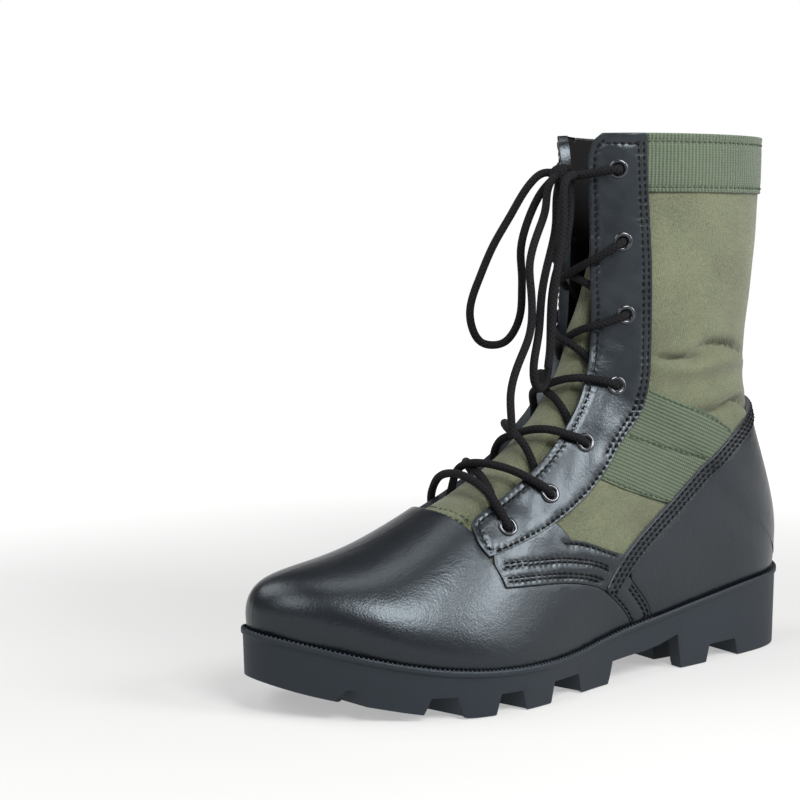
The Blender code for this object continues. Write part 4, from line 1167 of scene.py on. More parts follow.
@lru_cache(maxsize=None)
def black_lining_and_shade():
    """Thin leather lining: dull black, and darker still as painted shade inside the boot."""
    mat, tree, shader = blank("leather_lining_and_shade", linear("#070708") + (1.0,), 0.85, Specular_IOR_Level=0.2)
    where = add(tree, "ShaderNodeTexCoord").outputs["Object"]
    nap = add(tree, "ShaderNodeTexNoise", {"Vector": where, "Scale": per(1.0), "Detail": 3.0})
    bump = add(tree, "ShaderNodeBump", {"Height": nap.outputs["Fac"], "Strength": 0.3, "Distance": 0.0003})
    tree.links.new(bump.outputs[0], shader.inputs["Normal"])
    return mat


@lru_cache(maxsize=None)
def rubber_black():
    """Moulded rubber: dark grey, matt, with the fine texture of the mould."""
    base = colour("rubber")
    mat, tree, shader = blank("rubber_moulded", base, 0.6, Specular_Tint=(0.8, 0.92, 1.0, 1.0))
    where = add(tree, "ShaderNodeTexCoord").outputs["Object"]
    cloud = add(tree, "ShaderNodeTexNoise", {"Vector": where, "Scale": per(25), "Detail": 5.0})
    shade = add(tree, "ShaderNodeValToRGB", {"Fac": cloud.outputs["Fac"]})
    shade.color_ramp.elements[0].color = tint(base, 0.85)
    shade.color_ramp.elements[1].color = tint(base, 1.2)
    tree.links.new(shade.outputs[0], shader.inputs["Base Color"])
    mould = add(tree, "ShaderNodeTexNoise", {"Vector": where, "Scale": per(0.8), "Detail": 2.0})
    bump = add(tree, "ShaderNodeBump", {"Height": mould.outputs["Fac"], "Strength": 0.15, "Distance": 0.0003})
    tree.links.new(bump.outputs[0], shader.inputs["Normal"])
    return mat


@lru_cache(maxsize=None)
def enamel_black():
    """Baked enamel over brass: black, glossy, thin and brighter where the roll is rubbed."""
    mat, tree, shader = blank("enamel_over_brass", linear("#3a3c40") + (1.0,), 0.2, Metallic=0.85,
                              Coat_Weight=0.6, Coat_Roughness=0.08)
    where = add(tree, "ShaderNodeTexCoord").outputs["Object"]
    worn = add(tree, "ShaderNodeTexNoise", {"Vector": where, "Scale": per(2.5), "Detail": 4.0})
    rough = add(tree, "ShaderNodeMapRange", {"Value": worn.outputs["Fac"], "To Min": 0.12, "To Max": 0.32})
    tree.links.new(rough.outputs[0], shader.inputs["Roughness"])
    return mat


@lru_cache(maxsize=None)
def lace_braid():
    """Braided nylon cord: black, dull, crossing plaits read along the cord."""
    base = colour("lace")
    mat, tree, shader = blank("nylon_braid", base, 0.85, Specular_IOR_Level=0.16, Sheen_Weight=0.01,
                              Sheen_Roughness=0.4)
    uv = add(tree, "ShaderNodeUVMap", uv_map="UVMap").outputs[0]
    plaits = []
    for turn in (0.9, -0.9):
        tilted = add(tree, "ShaderNodeMapping", {"Vector": uv, "Rotation": (0, 0, turn)})
        plaits.append(add(tree, "ShaderNodeTexWave", {"Vector": tilted.outputs[0], "Scale": bands(1.7)},
                          bands_direction="X").outputs["Fac"])
    braid = add(tree, "ShaderNodeMath", {0: plaits[0], 1: plaits[1]}, operation="MAXIMUM")
    shade = add(tree, "ShaderNodeValToRGB", {"Fac": braid.outputs[0]})
    shade.color_ramp.elements[0].color = tint(base, 0.3)
    shade.color_ramp.elements[1].color = tint(base, 2.2)
    tree.links.new(shade.outputs[0], shader.inputs["Base Color"])
    bump = add(tree, "ShaderNodeBump", {"Height": braid.outputs[0], "Strength": 0.7, "Distance": 0.0004})
    tree.links.new(bump.outputs[0], shader.inputs["Normal"])
    return mat


@lru_cache(maxsize=None)
def thread_of(name):
    """Sewing thread: twisted, dull."""
    mat, tree, shader = blank("thread_" + name, colour(name), 0.85, Specular_IOR_Level=0.2)
    where = add(tree, "ShaderNodeTexCoord").outputs["Object"]
    twist = add(tree, "ShaderNodeTexWave", {"Vector": where, "Scale": bands(0.35)},
                bands_direction="DIAGONAL")
    bump = add(tree, "ShaderNodeBump", {"Height": twist.outputs["Fac"], "Strength": 0.3, "Distance": 0.0001})
    tree.links.new(bump.outputs[0], shader.inputs["Normal"])
    return mat


@lru_cache(maxsize=None)
def pad_cloth():
    """Brushed cloth over the insole foam."""
    mat, tree, shader = blank("brushed_cloth_pad", linear("#2c2d2e") + (1.0,), 0.95, Sheen_Weight=0.3)
    where = add(tree, "ShaderNodeTexCoord").outputs["Object"]
    nap = add(tree, "ShaderNodeTexNoise", {"Vector": where, "Scale": per(1.2), "Detail": 4.0})
    bump = add(tree, "ShaderNodeBump", {"Height": nap.outputs["Fac"], "Strength": 0.5, "Distance": 0.0005})
    tree.links.new(bump.outputs[0], shader.inputs["Normal"])
    return mat


# Edges of the panels


def round_corner(first, second, side, radius):
    """Two curves that meet, with their corner rounded off."""
    first = even(first, side, 0.5)
    second = even(second, side, 0.5)
    corner = (first[-1] + second[0]) / 2
    skip = int(radius / 0.5)
    a, b = first[-skip - 1], second[skip]
    u = np.linspace(0, 1, 12)[:, None]
    bend = (1 - u) ** 2 * a + 2 * u * (1 - u) * corner + u * u * b
    return np.vstack([first[:-skip - 1], bend, second[skip + 1:]])


@lru_cache(maxsize=None)
def edges(side):
    """Named curves of the panel edges on one side."""
    back = trace(FACING_BACK, side)
    back = np.vstack([[back[0, 0], TOP_ROW], back])
    front = trace(FACING_FRONT, side)
    front = front[front[:, 0] > throat_t(front[:, 1], side)]
    corner = find([FACING_BACK[-1]], side)[0]
    split = int(((front - corner) ** 2 @ (100, 1)).argmin())
    strip = trace(STRIP_TOP, side)
    strip[0] = (1.0, strip[0, 1])
    return {"back": back, "front_high": front[:split + 1], "front_low": front[split:],
            "wing_low": trace(WING_LOW, side), "strip": strip, "window": trace(WINDOW_LOW, side),
            "curb": trace(LOW_STRIP_BACK, side), "web_top": trace(WEB_TOP, side),
            "web_low": trace(WEB_LOW, side)}


def cut(tv, side, keep):
    """Part of a curve whose side-view points pass a test."""
    pts = surface(tv[:, 0], tv[:, 1], side)
    return tv[[bool(keep(p[0], p[2])) for p in pts]]


def beside(tv, side, far, keep=None):
    """Curve a fixed distance to the left of another, or the part of it that passes a test."""
    moved = aside(tv, side, np.full(len(tv), float(far)))
    return moved if keep is None else cut(moved, side, keep)


def facing_loop(side):
    """Edge of an eyelet facing: back line down, rounded front edge and throat edge up, collar."""
    e = edges(side)
    front = e["front_high"][::-1]
    v = np.linspace(front[-1, 1], TOP_ROW, 160)
    throat = rows_of(throat_t(v, side), v)
    inner = round_corner(front, throat, side, 5.0)
    return [e["back"], inner, rows_of(np.linspace(throat[-1, 0], e["back"][0, 0], 20), TOP_ROW)]


def facing_rows(side):
    """Stitch rows of a facing: along its front, throat and top, then one or two along its back."""
    e = edges(side)
    inner = facing_loop(side)[1]
    near, far = FACING_BACK_ROWS
    rows = [beside(inner, side, FACING_FRONT_ROW, lambda x, z: 67.5 < z < ROWS_TOP),
            beside(e["back"], side, near, lambda x, z: z < ROWS_TOP and x < 50),
            beside(e["back"], side, far, lambda x, z: 104 < z < ROWS_TOP)]
    return rows + [rows_of(np.linspace(rows[0][-1, 0], rows[2][0, 0], 20), FACING_TOP_ROW)]


def rows_to_path(rows, side, lift):
    """Stitch rows as points in space with their normals."""
    out = []
    for tv in rows:
        tv = even(tv, side, 0.5)
        nor = outward(tv[:, 0], tv[:, 1], side)
        out.append((surface(tv[:, 0], tv[:, 1], side) + nor * lift, nor))
    return out


STITCHES = {"thread": [], "green_thread": []}


def sew(kind, rows, side, lift):
    """Keep stitch rows for the sewing step."""
    STITCHES[kind] += rows_to_path(rows, side, lift)


# Operators


class BOOT_OT_stage(bpy.types.Operator):
    """Floor, soft studio light and the camera"""
    bl_idname = "boot.stage"
    bl_label = "Stage"

    def execute(self, context):
        scene = context.scene
        bm = bmesh.new()
        bmesh.ops.create_circle(bm, cap_ends=True, segments=96, radius=7.0)
        mesh = bpy.data.meshes.new("floor")
        bm.to_mesh(mesh)
        bm.free()
        floor = bpy.data.objects.new("floor", mesh)
        floor.location.z = -0.0003
        scene.collection.objects.link(floor)
        # Paper sweep that glows as painted light: faintly by the boot, so that a faint shadow shows there,
        # and up to the backdrop's white further off
        mat, tree, shader = blank("glowing_paper_floor", linear("#959594") + (1.0,), 0.9, Specular_IOR_Level=0.0,
                                  Emission_Color=(1, 1, 1, 1))
        where = add(tree, "ShaderNodeTexCoord").outputs["Object"]
        far = add(tree, "ShaderNodeVectorMath", {0: where}, operation="LENGTH").outputs["Value"]
        glow = add(tree, "ShaderNodeMapRange", {"Value": far, "From Min": 0.15, "From Max": 0.9,
                                                "To Min": 0.41, "To Max": 0.98},
                   interpolation_type="SMOOTHSTEP")
        tree.links.new(glow.outputs[0], shader.inputs["Emission Strength"])
        mesh.materials.append(mat)
        # A white backdrop behind the boot, a dim room all round, paler towards the floor
        world = bpy.data.worlds.new("studio")
        world.use_nodes = True
        tree = world.node_tree
        where = add(tree, "ShaderNodeTexCoord").outputs["Generated"]
        facing = add(tree, "ShaderNodeVectorMath", {0: where, 1: (*CAMERA_WAY, 0.0)}, operation="DOT_PRODUCT")
        glow = add(tree, "ShaderNodeMapRange", {"Value": facing.outputs["Value"], "From Min": 0.8,
                                                "From Max": 0.94, "To Min": 0.09, "To Max": 1.0})
        height = add(tree, "ShaderNodeSeparateXYZ", {0: where}).outputs["Z"]
        room = add(tree, "ShaderNodeMapRange", {"Value": height, "From Min": 0.1, "From Max": 0.4,
                                                "To Min": 0.22, "To Max": 0.09})
        both = add(tree, "ShaderNodeMath", {0: glow.outputs[0], 1: room.outputs[0]}, operation="MAXIMUM")
        tree.links.new(both.outputs[0], tree.nodes["Background"].inputs["Strength"])
        tree.nodes["Background"].inputs["Color"].default_value = (1, 1, 1, 1)
        scene.world = world
        for name, (place, wide, high, power) in LAMPS.items():
            light = bpy.data.lights.new(name, "AREA")
            light.shape = "RECTANGLE"
            light.size = wide
            light.size_y = high
            light.energy = power
            lamp = bpy.data.objects.new(name, light)
            lamp.location = place
            aim = Vector(LAMP_AIM) - Vector(place)
            lamp.rotation_euler = aim.to_track_quat("-Z", "Y").to_euler()
            scene.collection.objects.link(lamp)
        lens = bpy.data.cameras.new("camera")
        lens.sensor_width = SENSOR
        lens.lens = LENS
        lens.clip_start = 0.01
        camera = bpy.data.objects.new("camera", lens)
        camera.location = CAMERA_AT
        tilt = math.radians(CAMERA_DOWN)
        look = Vector((*(way * math.cos(tilt) for way in CAMERA_WAY), -math.sin(tilt)))
        camera.rotation_euler = look.to_track_quat("-Z", "Y").to_euler()
        scene.collection.objects.link(camera)
        scene.camera = camera
        scene.view_settings.view_transform = "Standard"
        return {"FINISHED"}


def strand(low, high, side, over):
    """Lace from under the facing by one eyelet, across the tongue, into the next eyelet opposite."""
    v0, t0 = EYELETS[low]
    v1, t1 = EYELETS[high]
    ridge = np.linspace(min(v0, v1) - 1.5, max(v0, v1) + 0.5, 120)
    aim = (surface(t0, v0, side) + surface(t1, v1, side)) / 2 * (1, 0, 1)
    mid = float(ridge[np.linalg.norm((surface(0 * ridge, ridge, side) - aim) * (1, 0, 1), axis=1).argmin()])

    def under(share, lift):
        return on(t0 * share, mid + (v0 - mid) * share, -side, lift)

    def above(share, lift):
        return on(t1 * share, mid + (v1 - mid) * share, side, lift)
    end = surface(t1, v1, side)
    axis = outward(t1, v1, side)
    arch = LACE_ARCH if low > 4 else 0.0
    middle = (LACE_OVER if over else LACE_UNDER) + arch
    pts = [under(1.25, -4.3), under(1.0, -4.2), under(0.72, -3.6), under(0.48, -1.2 + arch * 0.5),
           under(0.22, middle * 0.75), above(0.0, middle), above(0.28, 0.5 * middle + 1.9 + arch * 0.5),
           above(0.55, 4.8 + arch * 0.4), above(0.8, 4.9), above(0.92, 4.5),
           end + axis * 2.2, end - axis * 1.2, end - axis * 4.0]
    return route(pts, 64)


class BOOT_OT_lace(bpy.types.Operator):
    """Lace: bar, crossings, tie, bow and ends"""
    bl_idname = "boot.lace"
    bl_label = "Lace"

    def execute(self, context):
        size = sizes()["lace"]
        mat = lace_braid()
        paths = []
        v, t = EYELETS[-1]
        bar = []
        for side in (-1, 1):
            end, axis = surface(t, v, side), outward(t, v, side)
            edge = float(throat_t(v, side))
            arm = [end - axis * 4.0, end - axis * 1.0, end + axis * 2.2]
            arm += [on(edge + (t - edge) * 0.55, v + 0.02, side, 4.9), on(edge * 0.95, v + 0.08, side, 6.2),
                    on(edge * 0.5, v + 0.12, side, 6.4)]
            bar += arm if side < 0 else [on(0.0, v + 0.14, 1, 6.2)] + arm[::-1]
        paths.append(("lace_bar", route(bar, 90), ["lace_bar"]))
        for k in range(5):
            low = len(EYELETS) - 1 - k
            nodes = [f"lace_cross_{k + 1}"]
            paths.append((f"lace_strand_outer_{k + 1}", strand(low, low - 1, 1, k % 2 == 0), nodes))
            paths.append((f"lace_strand_inner_{k + 1}", strand(low, low - 1, -1, k % 2 == 1), []))
        for name, path, nodes in paths:
            ride(tube(name, path, size / 2, mat), "cord", *nodes)
        share = np.linspace(0, 1, 80)
        turn = share * KNOT_TURNS * 2 * math.pi
        coil = np.column_stack([KNOT_AT[0] + KNOT_ROUND[0] * np.cos(turn), KNOT_HALF * (share * 2 - 1),
                                KNOT_AT[1] + KNOT_ROUND[1] * np.sin(turn)])
        knot = ride(tube("lace_knot", coil, size / 2, mat), "cord")
        ties = [("lace_tie", TIE, 60, "object", "taut"),
                ("lace_loop_long", LOOP_LONG, 120, "knot", "hanging"),
                ("lace_loop_short", LOOP_SHORT, 120, "knot", "hanging"),
                ("lace_end_long", END_LONG, 90, "bare", "hanging"),
                ("lace_end_short", END_SHORT, 70, "bare", "hanging")]
        for name, points, count, end, lay in ties:
            path = route(points, count)
            piece = tube(name + "_cord", path, size / 2, mat)
            ride(piece, "cord", name)
            float(lengths(path)[-1] * MM)
        return {"FINISHED"}


def bottom_z(x, y):
    """Underside of the sole: lugs, gaps between them, waist."""
    z = ground_z(x)
    for side, gaps in GAPS.items():
        for ahead, behind, root in gaps:
            u = x + (LUG_SKEW * (np.abs(y) - 44.0) if ahead > 0 else 0.0)
            cut_z = np.minimum(root, root - (behind + LUG_DRAFT - u) * LUG_SLOPE)
            cut_z = np.minimum(cut_z, root - (u - ahead + LUG_DRAFT) * LUG_SLOPE)
            cut_z = np.minimum(cut_z, (y * side - SPINE) * 12.0)
            z = np.maximum(z, np.where(y * side > SPINE, cut_z, 0))
    along = (x > HEEL_SLOT[0][0]) & (x < HEEL_SLOT[1][0])
    for near, far in HEEL_SLOT_RUNS:
        z = np.maximum(z, np.where(along & (y > near) & (y < far), np.interp(x, *np.array(HEEL_SLOT).T), 0))
    return np.maximum(z, np.interp(x, *np.array(WAIST).T, left=-2.0, right=-2.0))


def sole_lines():
    """Points along the edges of lugs and waist, so that these stay crisp."""
    out = []
    for side, gaps in GAPS.items():
        for ahead, behind, _ in gaps:
            y = np.arange(SPINE, 54.0, 1.1)
            skew = LUG_SKEW * (y - 44.0) if ahead > 0 else 0.0
            for u in (behind + 0.1, behind + LUG_DRAFT, ahead - LUG_DRAFT, ahead - 0.1):
                out.append(np.stack([u - skew + 0 * y, side * y], 1))
            x = np.arange(behind, ahead, 1.1)
            for far in (SPINE, SPINE + 0.8):
                lead = LUG_SKEW * (44.0 - far) if ahead > 0 else 0.0
                out.append(np.stack([x + lead, np.full(len(x), side * far)], 1))
    y = np.arange(-50, 50, 1.1)
    for x in (WAIST[0][0] + 0.2, *(x for x, _ in WAIST[1:-1]), WAIST[-1][0] - 0.4):
        out.append(np.stack([np.full(len(y), x), y], 1))
    x = np.arange(HEEL_SLOT[0][0], WAIST[1][0], 1.1)
    for near, far in HEEL_SLOT_RUNS:
        for y in (near - 0.1, near + 0.1, far - 0.1, far + 0.1):
            out.append(np.stack([x, np.full(len(x), y)], 1))
        y = np.arange(near, far, 1.1)
        for back in (HEEL_SLOT[0][0] - 0.1, HEEL_SLOT[0][0] + 0.1):
            out.append(np.stack([np.full(len(y), back), y], 1))
    return np.vstack(out)


def sole_stations():
    """Numbers of outline points: even steps, and every spot where a lug's edge reaches the outline."""
    fine = sole_ring(9000)
    tread = fine + ring_way(fine) * TREAD_EDGE
    marks = []
    for side, gaps in GAPS.items():
        for ahead, behind, _ in gaps:
            u = tread[:, 0] + (LUG_SKEW * (np.abs(tread[:, 1]) - 44.0) if ahead > 0 else 0.0)
            for edge in (behind, behind + LUG_DRAFT, ahead - LUG_DRAFT, ahead):
                hit = (u - edge) * (np.roll(u, -1) - edge) <= 0
                marks += [int(k) for k in np.nonzero(hit & (tread[:, 1] * side > SPINE))[0]]
    for x, _ in WAIST:
        marks += [int(k) for k in np.nonzero((tread[:, 0] - x) * (np.roll(tread[:, 0], -1) - x) <= 0)[0]]
    marks = sorted(set(marks))
    near = np.array(marks)
    spread = [k for k in range(0, len(fine), 18) if np.abs(near - k).min() > 8]
    picks = np.array(sorted(marks + spread))
    return fine[picks], ring_way(fine)[picks]


class BOOT_OT_sole(bpy.types.Operator):
    """Moulded sole with welt lip, lugs, waist and toe spring"""
    bl_idname = "boot.sole"
    bl_label = "Sole"

    def execute(self, context):
        ring, way = sole_stations()
        loops = ring_loops(ring, way, WELT_STEPS)
        wall = loops[-1]
        tread = ring + way * TREAD_EDGE
        low = np.column_stack([tread, bottom_z(tread[:, 0], tread[:, 1])])
        for k in range(1, WALL_LOOPS + 1):
            loops.append(wall * (1 - k / WALL_LOOPS) + low * (k / WALL_LOOPS))
        top = (lambda x, y: feather_z(x) + WELT_STEPS[0][1], np.zeros((0, 2)), 6.0)
        sole = stack("sole", loops, top, (bottom_z, sole_lines(), 4.0), rubber_black(), 38)
        ride(sole, "rubber", "outsole")
        fine = sole_ring(2400)
        out = ring_way(fine)
        line = fine - out * 1.0
        path = np.column_stack([line, feather_z(line[:, 0]) + 0.75])
        path = np.roll(path, -int(np.argmin(fine[:, 0])), 0)
        out = np.roll(out, -int(np.argmin(fine[:, 0])), 0)
        dist = lengths(path)
        want = np.arange(0, dist[-1], WELT_PITCH)
        spots = resample(path, dist, want)
        ways = resample(np.column_stack([out, np.zeros(len(out))]), dist, want)
        front = spots[:, 0] > WELT_FROM
        up = np.tile((0.0, 0.0, 1.0), (int(front.sum()), 1))
        ribs = scatter("welt_ribs", spots[front], up, ways[front], stitch_shape,
                       *(one * MM for one in WELT_RIB), rubber_black())
        ride(ribs, "rubber")
        return {"FINISHED"}


class BOOT_OT_insole(bpy.types.Operator):
    """Insole pad"""
    bl_idname = "boot.insole"
    bl_label = "Insole"

    def execute(self, context):
        ring = sole_ring(260)
        loops = ring_loops(ring, ring_way(ring), PAD_STEPS, WELT + WALL)
        caps = [(lambda x, y, rise=rise: feather_z(x) + rise, np.zeros((0, 2)), 6.0)
                for rise in (PAD_STEPS[0][1], PAD_STEPS[-1][1])]
        pad = stack("insole_pad", loops, *caps, pad_cloth())
        ride(pad, "foam", "insole")
        return {"FINISHED"}


def shaft_half(side):
    """Half of the canvas upper, with its eyelet holes."""
    v = np.linspace(THROAT_ROW, TOP_ROW - 0.02, 200)
    throat = beside(rows_of(throat_t(v, side), v), side, 0.9)
    top = rows_of(np.linspace(throat[-1, 0], 1, 60), TOP_ROW - 0.02)
    seam = rows_of(1.0, np.linspace(TOP_ROW - 0.02, HEEL_ROW, 80))
    base = rows_of(1.0, np.linspace(HEEL_ROW, 0, 240))
    toe = rows_of(np.linspace(1, 0, 30), 0.0)
    ridge = rows_of(0.0, np.linspace(0, THROAT_ROW, 80))
    edge = rows_of(np.linspace(0, throat[0, 0], 20), THROAT_ROW)
    holes = [circle(t, v0, side, 2.9) for v0, t in EYELETS]
    return half_sheet(side, [throat, top, seam, base, toe, ridge, edge], 1.9, 0.0, (), holes)


class BOOT_OT_shaft(bpy.types.Operator):
    """Canvas upper with its lining"""
    bl_idname = "boot.shaft"
    bl_label = "Canvas shaft"

    def execute(self, context):
        verts, faces, slots, uvs = [], [], [], []
        for side in (1, -1):
            half = shaft_half(side)
            tv, tris = half["tv"], half["tris"]
            pts = surface(tv[:, 0], tv[:, 1], side)
            nor = outward(tv[:, 0], tv[:, 1], side)
            tris = facing_out(tris, pts, nor)
            lift = fold_lift(pts, side) + 0.25 * swell(pts, 34.0, 5)
            bare = tv[:, 1] > 6.0
            lift = np.where(bare & ~half["seam"], lift, 0.0)
            shell = []
            for off in (0.0, -WALL):
                moved = pts + nor * (off + lift)[:, None]
                low = (tv[:, 0] > 0.9995) & (tv[:, 1] < HEEL_ROW)
                low |= tv[:, 1] < 1e-6
                moved[low, 2] = feather_z(moved[low, 0]) + 0.15
                shell.append(moved)
            shift = sum(len(v) for v in verts)
            count = len(tv)
            verts += shell
            uvs += [half["uv"], half["uv"]]
            faces += [tuple(f + shift) for f in tris] + [tuple(f[::-1] + shift + count) for f in tris]
            # Inner faces: near-black lining by the throat and on the cut edges, darker canvas elsewhere; both
            # are painted shade inside the boot, the lining partly its own black
            near = tv[tris].mean(1)
            black = near[:, 0] < throat_t(near[:, 1], side) + 0.58
            slots += [0] * len(tris) + list(np.where(black, 2, 1))
            for p, q in rim_edges(tris, half["seam"]):
                faces.append((p + shift, p + count + shift, q + count + shift, q + shift))
                slots.append(2)
        cloths = [canvas_olive(), canvas_inside_shaded(), black_lining_and_shade()]
        ride(weld(build("canvas_upper", np.vstack(verts), faces, cloths, slots, np.vstack(uvs))),
             "canvas", "upper")
        return {"FINISHED"}


def base_run(v_from, v_to):
    """Base edge along the sole."""
    return rows_of(1.0, np.linspace(v_from, v_to, 160))


def vamp_loop(side):
    """Edge of half the vamp, from the throat down the facing, along the sole and the ridge."""
    e = edges(side)
    front = np.vstack([e["front_high"], e["front_low"][1:]])
    front = front[front[:, 0] > 0.285]
    share = np.linspace(0, 1, 40)
    top = rows_of(share * front[0, 0], VAMP_ROW + (front[0, 1] - VAMP_ROW) * share ** 1.3)
    low = np.vstack([e["wing_low"], [1.0, e["wing_low"][-1, 1]]])
    toe = rows_of(np.linspace(1, 0, 40), 0.0)
    ridge = rows_of(0.0, np.linspace(0, VAMP_ROW, 90))
    return [top, front, low, base_run(low[-1, 1], 0.0), toe, ridge]


def wing_loop(side):
    """Edge of a wing, between facing, vamp, strip and canvas window."""
    e = edges(side)
    top = cut(beside(e["back"], side, 1.5), side, lambda x, z: 12.0 < x < 52.5)
    low = cut(e["wing_low"], side, lambda x, z: x > -10.0)
    back = cut(beside(e["strip"], side, -1.0), side, lambda x, z: -24.5 < x < -11.0)[::-1]
    window = cut(e["window"], side, lambda x, z: x < 13.0)[::-1]
    top = cut(top, side, lambda x, z: x > 12.5)
    return [round_corner(window, top, side, 3.5), e["front_low"][2:], low, back]


def strip_loop(side):
    """Edge of half the counter strip, which ends on the vamp."""
    e = edges(side)
    high = e["strip"]
    low = beside(high, side, -STRIP_WIDE)
    low[0, 0] = 1.0
    seam = rows_of(1.0, np.linspace(low[0, 1], high[0, 1], 6))
    return [high, cut(low, side, lambda x, z: x < -19.0)[::-1], seam]


def counter_loop(side):
    """Edge of half the heel counter, tucked under its strip."""
    e = edges(side)
    low = beside(e["strip"], side, -STRIP_WIDE + 0.8)
    low[0, 0] = 1.0
    low = cut(low, side, lambda x, z: x < -26.0)
    front = beside(e["curb"], side, -0.3, lambda x, z: z < 48.5)
    front = np.vstack([front, [1.0, front[-1, 1]]])
    seam = rows_of(1.0, np.linspace(HEEL_ROW, low[0, 1], 40))
    return [low, front, base_run(front[-1, 1], HEEL_ROW), seam]


def curb_loop(side):
    """Edge of a curb strip between vamp and counter, tucked under the counter strip."""
    e = edges(side)
    front = cut(e["wing_low"], side, lambda x, z: x < -11.4)
    front = np.vstack([front, [1.0, front[-1, 1]]])
    back = np.vstack([[1.0, e["curb"][-1, 1]], e["curb"][::-1]])
    top = trace([(-24.4, 49.6), (-18.6, 45.0), (-11.3, 45.2)], side)
    return [front, base_run(front[-1, 1], back[0, 1]), back, top]


def backstay_loop(side):
    """Edge of half the narrow strip on the back seam."""
    rows = np.linspace(HEEL_ROW, TOP_ROW, 200)
    v = np.linspace(*np.interp((BACKSTAY_LOW, BAND_LOW), surface(np.ones(200), rows, 1)[:, 2], rows), 60)
    ts = np.linspace(0.9, 1.0, 60)
    share = []
    for one in v:
        pts = surface(ts, np.full(60, one), side)
        share.append(np.interp(-BACKSTAY_HALF, -np.abs(pts[:, 1]), ts))
    return [rows_of(1.0, v), rows_of(share, v)[::-1]]


class BOOT_OT_leather(bpy.types.Operator):
    """Leather panels"""
    bl_idname = "boot.leather"
    bl_label = "Leather panels"

    def execute(self, context):
        size = sizes()
        mats = [leather_black(), leather_edge()]
        plain = [leather_black(), leather_black()]
        over = size["overlay"]

        def ripple(points, side, tv):
            return 0.2 * swell(points, 10.0, 11) + 0.22 * swell(points, 24.0, 12)

        def soft(points, side, tv):
            return 0.16 * swell(points, 34.0, 3)

        def heel(points, side, tv):
            return soft(points, side, tv) + ease(points, outward(tv[:, 0], tv[:, 1], side), 9.0)

        def bound(tv, side):
            free = (tv[:, 0] < throat_t(tv[:, 1], side) + 0.012) & (tv[:, 1] > 5.6)
            return np.where(free | (tv[:, 1] > TOP_ROW - 0.06), -WALL - 0.3, UNDERSIDE)
        halves = [half_sheet(side, vamp_loop(side), 2.2, 0.5) for side in (1, -1)]
        ride(panel("leather_vamp", halves, size["leather"], plain, lift=soft), "leather", "vamp")
        halves = [half_sheet(side, counter_loop(side), 2.4, 0.5) for side in (1, -1)]
        ride(panel("leather_counter", halves, size["leather"], plain, lift=heel), "leather", "counter")
        halves = []
        for side in (1, -1):
            rows = [beside(edges(side)["strip"], side, -far, lambda x, z: -126 < x < -15 + far * 0.9)
                    for far in STRIP_ROWS]
            sew("thread", rows, side, over + STRIP_RISE - SINK)
            halves.append(half_sheet(side, strip_loop(side), 1.8, 0.5, rows))
        ride(panel("leather_counter_strip", halves, over + STRIP_RISE, mats), "leather", "counter_strip")
        halves = [half_sheet(side, backstay_loop(side), 1.6, 0.3) for side in (1, -1)]
        ride(panel("leather_backstay", halves, 1.2, plain, rim=0.3), "leather", "backstay")
        for side, word in ((1, "outer"), (-1, "inner")):
            rows = facing_rows(side)
            sew("thread", rows, side, over + FACING_RISE - FACING_SINK)
            holes = [circle(t, v, side, HOLE_CUT) for v, t in EYELETS]
            half = half_sheet(side, facing_loop(side), 1.7, 0.45, rows, holes)
            ride(panel("leather_facing_" + word, [half], over + FACING_RISE, plain, rim=0.45, lift=ripple,
                       edge_low=bound), "leather", "facing_" + word)
            e = edges(side)
            rows = [beside(e["wing_low"], side, -far, lambda x, z: -6.5 - far * 0.75 < x < 50.4 - far * 0.15)
                    for far in WING_ROWS]
            rows.append(beside(e["window"], side, 1.6, lambda x, z: -19.5 < x < 15.0))
            sew("thread", rows, side, over - SINK)
            half = half_sheet(side, wing_loop(side), 1.7, 0.45, rows)
            ride(panel("leather_wing_" + word, [half], over, mats, rim=0.45, lift=ripple),
                 "leather", "wing_" + word)
            rows = [beside(cut(e["wing_low"], side, lambda x, z: x < -14.5), side, -1.6)]
            rows += [beside(cut(e["curb"], side, lambda x, z: z < 46.5), side, far) for far in CURB_ROWS]
            sew("thread", rows, side, over - SINK)
            half = half_sheet(side, curb_loop(side), 1.5, 0.4, rows)
            ride(panel("leather_curb_" + word, [half], over, mats, rim=0.4), "leather",
                 "curb_strip_" + word)
        return {"FINISHED"}


def band_edge(side, height):
    """Curve round the collar at one height, from the facing to the back seam."""
    start = edges(side)["back"]
    near = cut(start, side, lambda x, z: z > height - 6)
    v_front = float(np.interp(-height, -surface(near[:, 0], near[:, 1], side)[:, 2], near[:, 1]))
    t_front = float(np.interp(-v_front, -near[:, 1], near[:, 0]))
    ts = np.linspace(t_front, 1, 60)
    vs = np.linspace(13, TOP_ROW, 200)
    out = []
    for t in ts:
        z = surface(np.full(200, t), vs, side)[:, 2]
        out.append((t, float(np.interp(height, z, vs))))
    return np.array(out)


def collar_layout(points, spread):
    """Threads of the collar band: round the shaft, and up it."""
    return np.stack([spread[:, 0], points[:, 2]], 1)


def ankle_layout(points, spread):
    """Threads of the ankle webbing: across its slope, and along it."""
    x, z = points[:, 0], points[:, 2]
    return np.stack([x * 0.396 - z * 0.918, x * 0.918 + z * 0.396], 1)


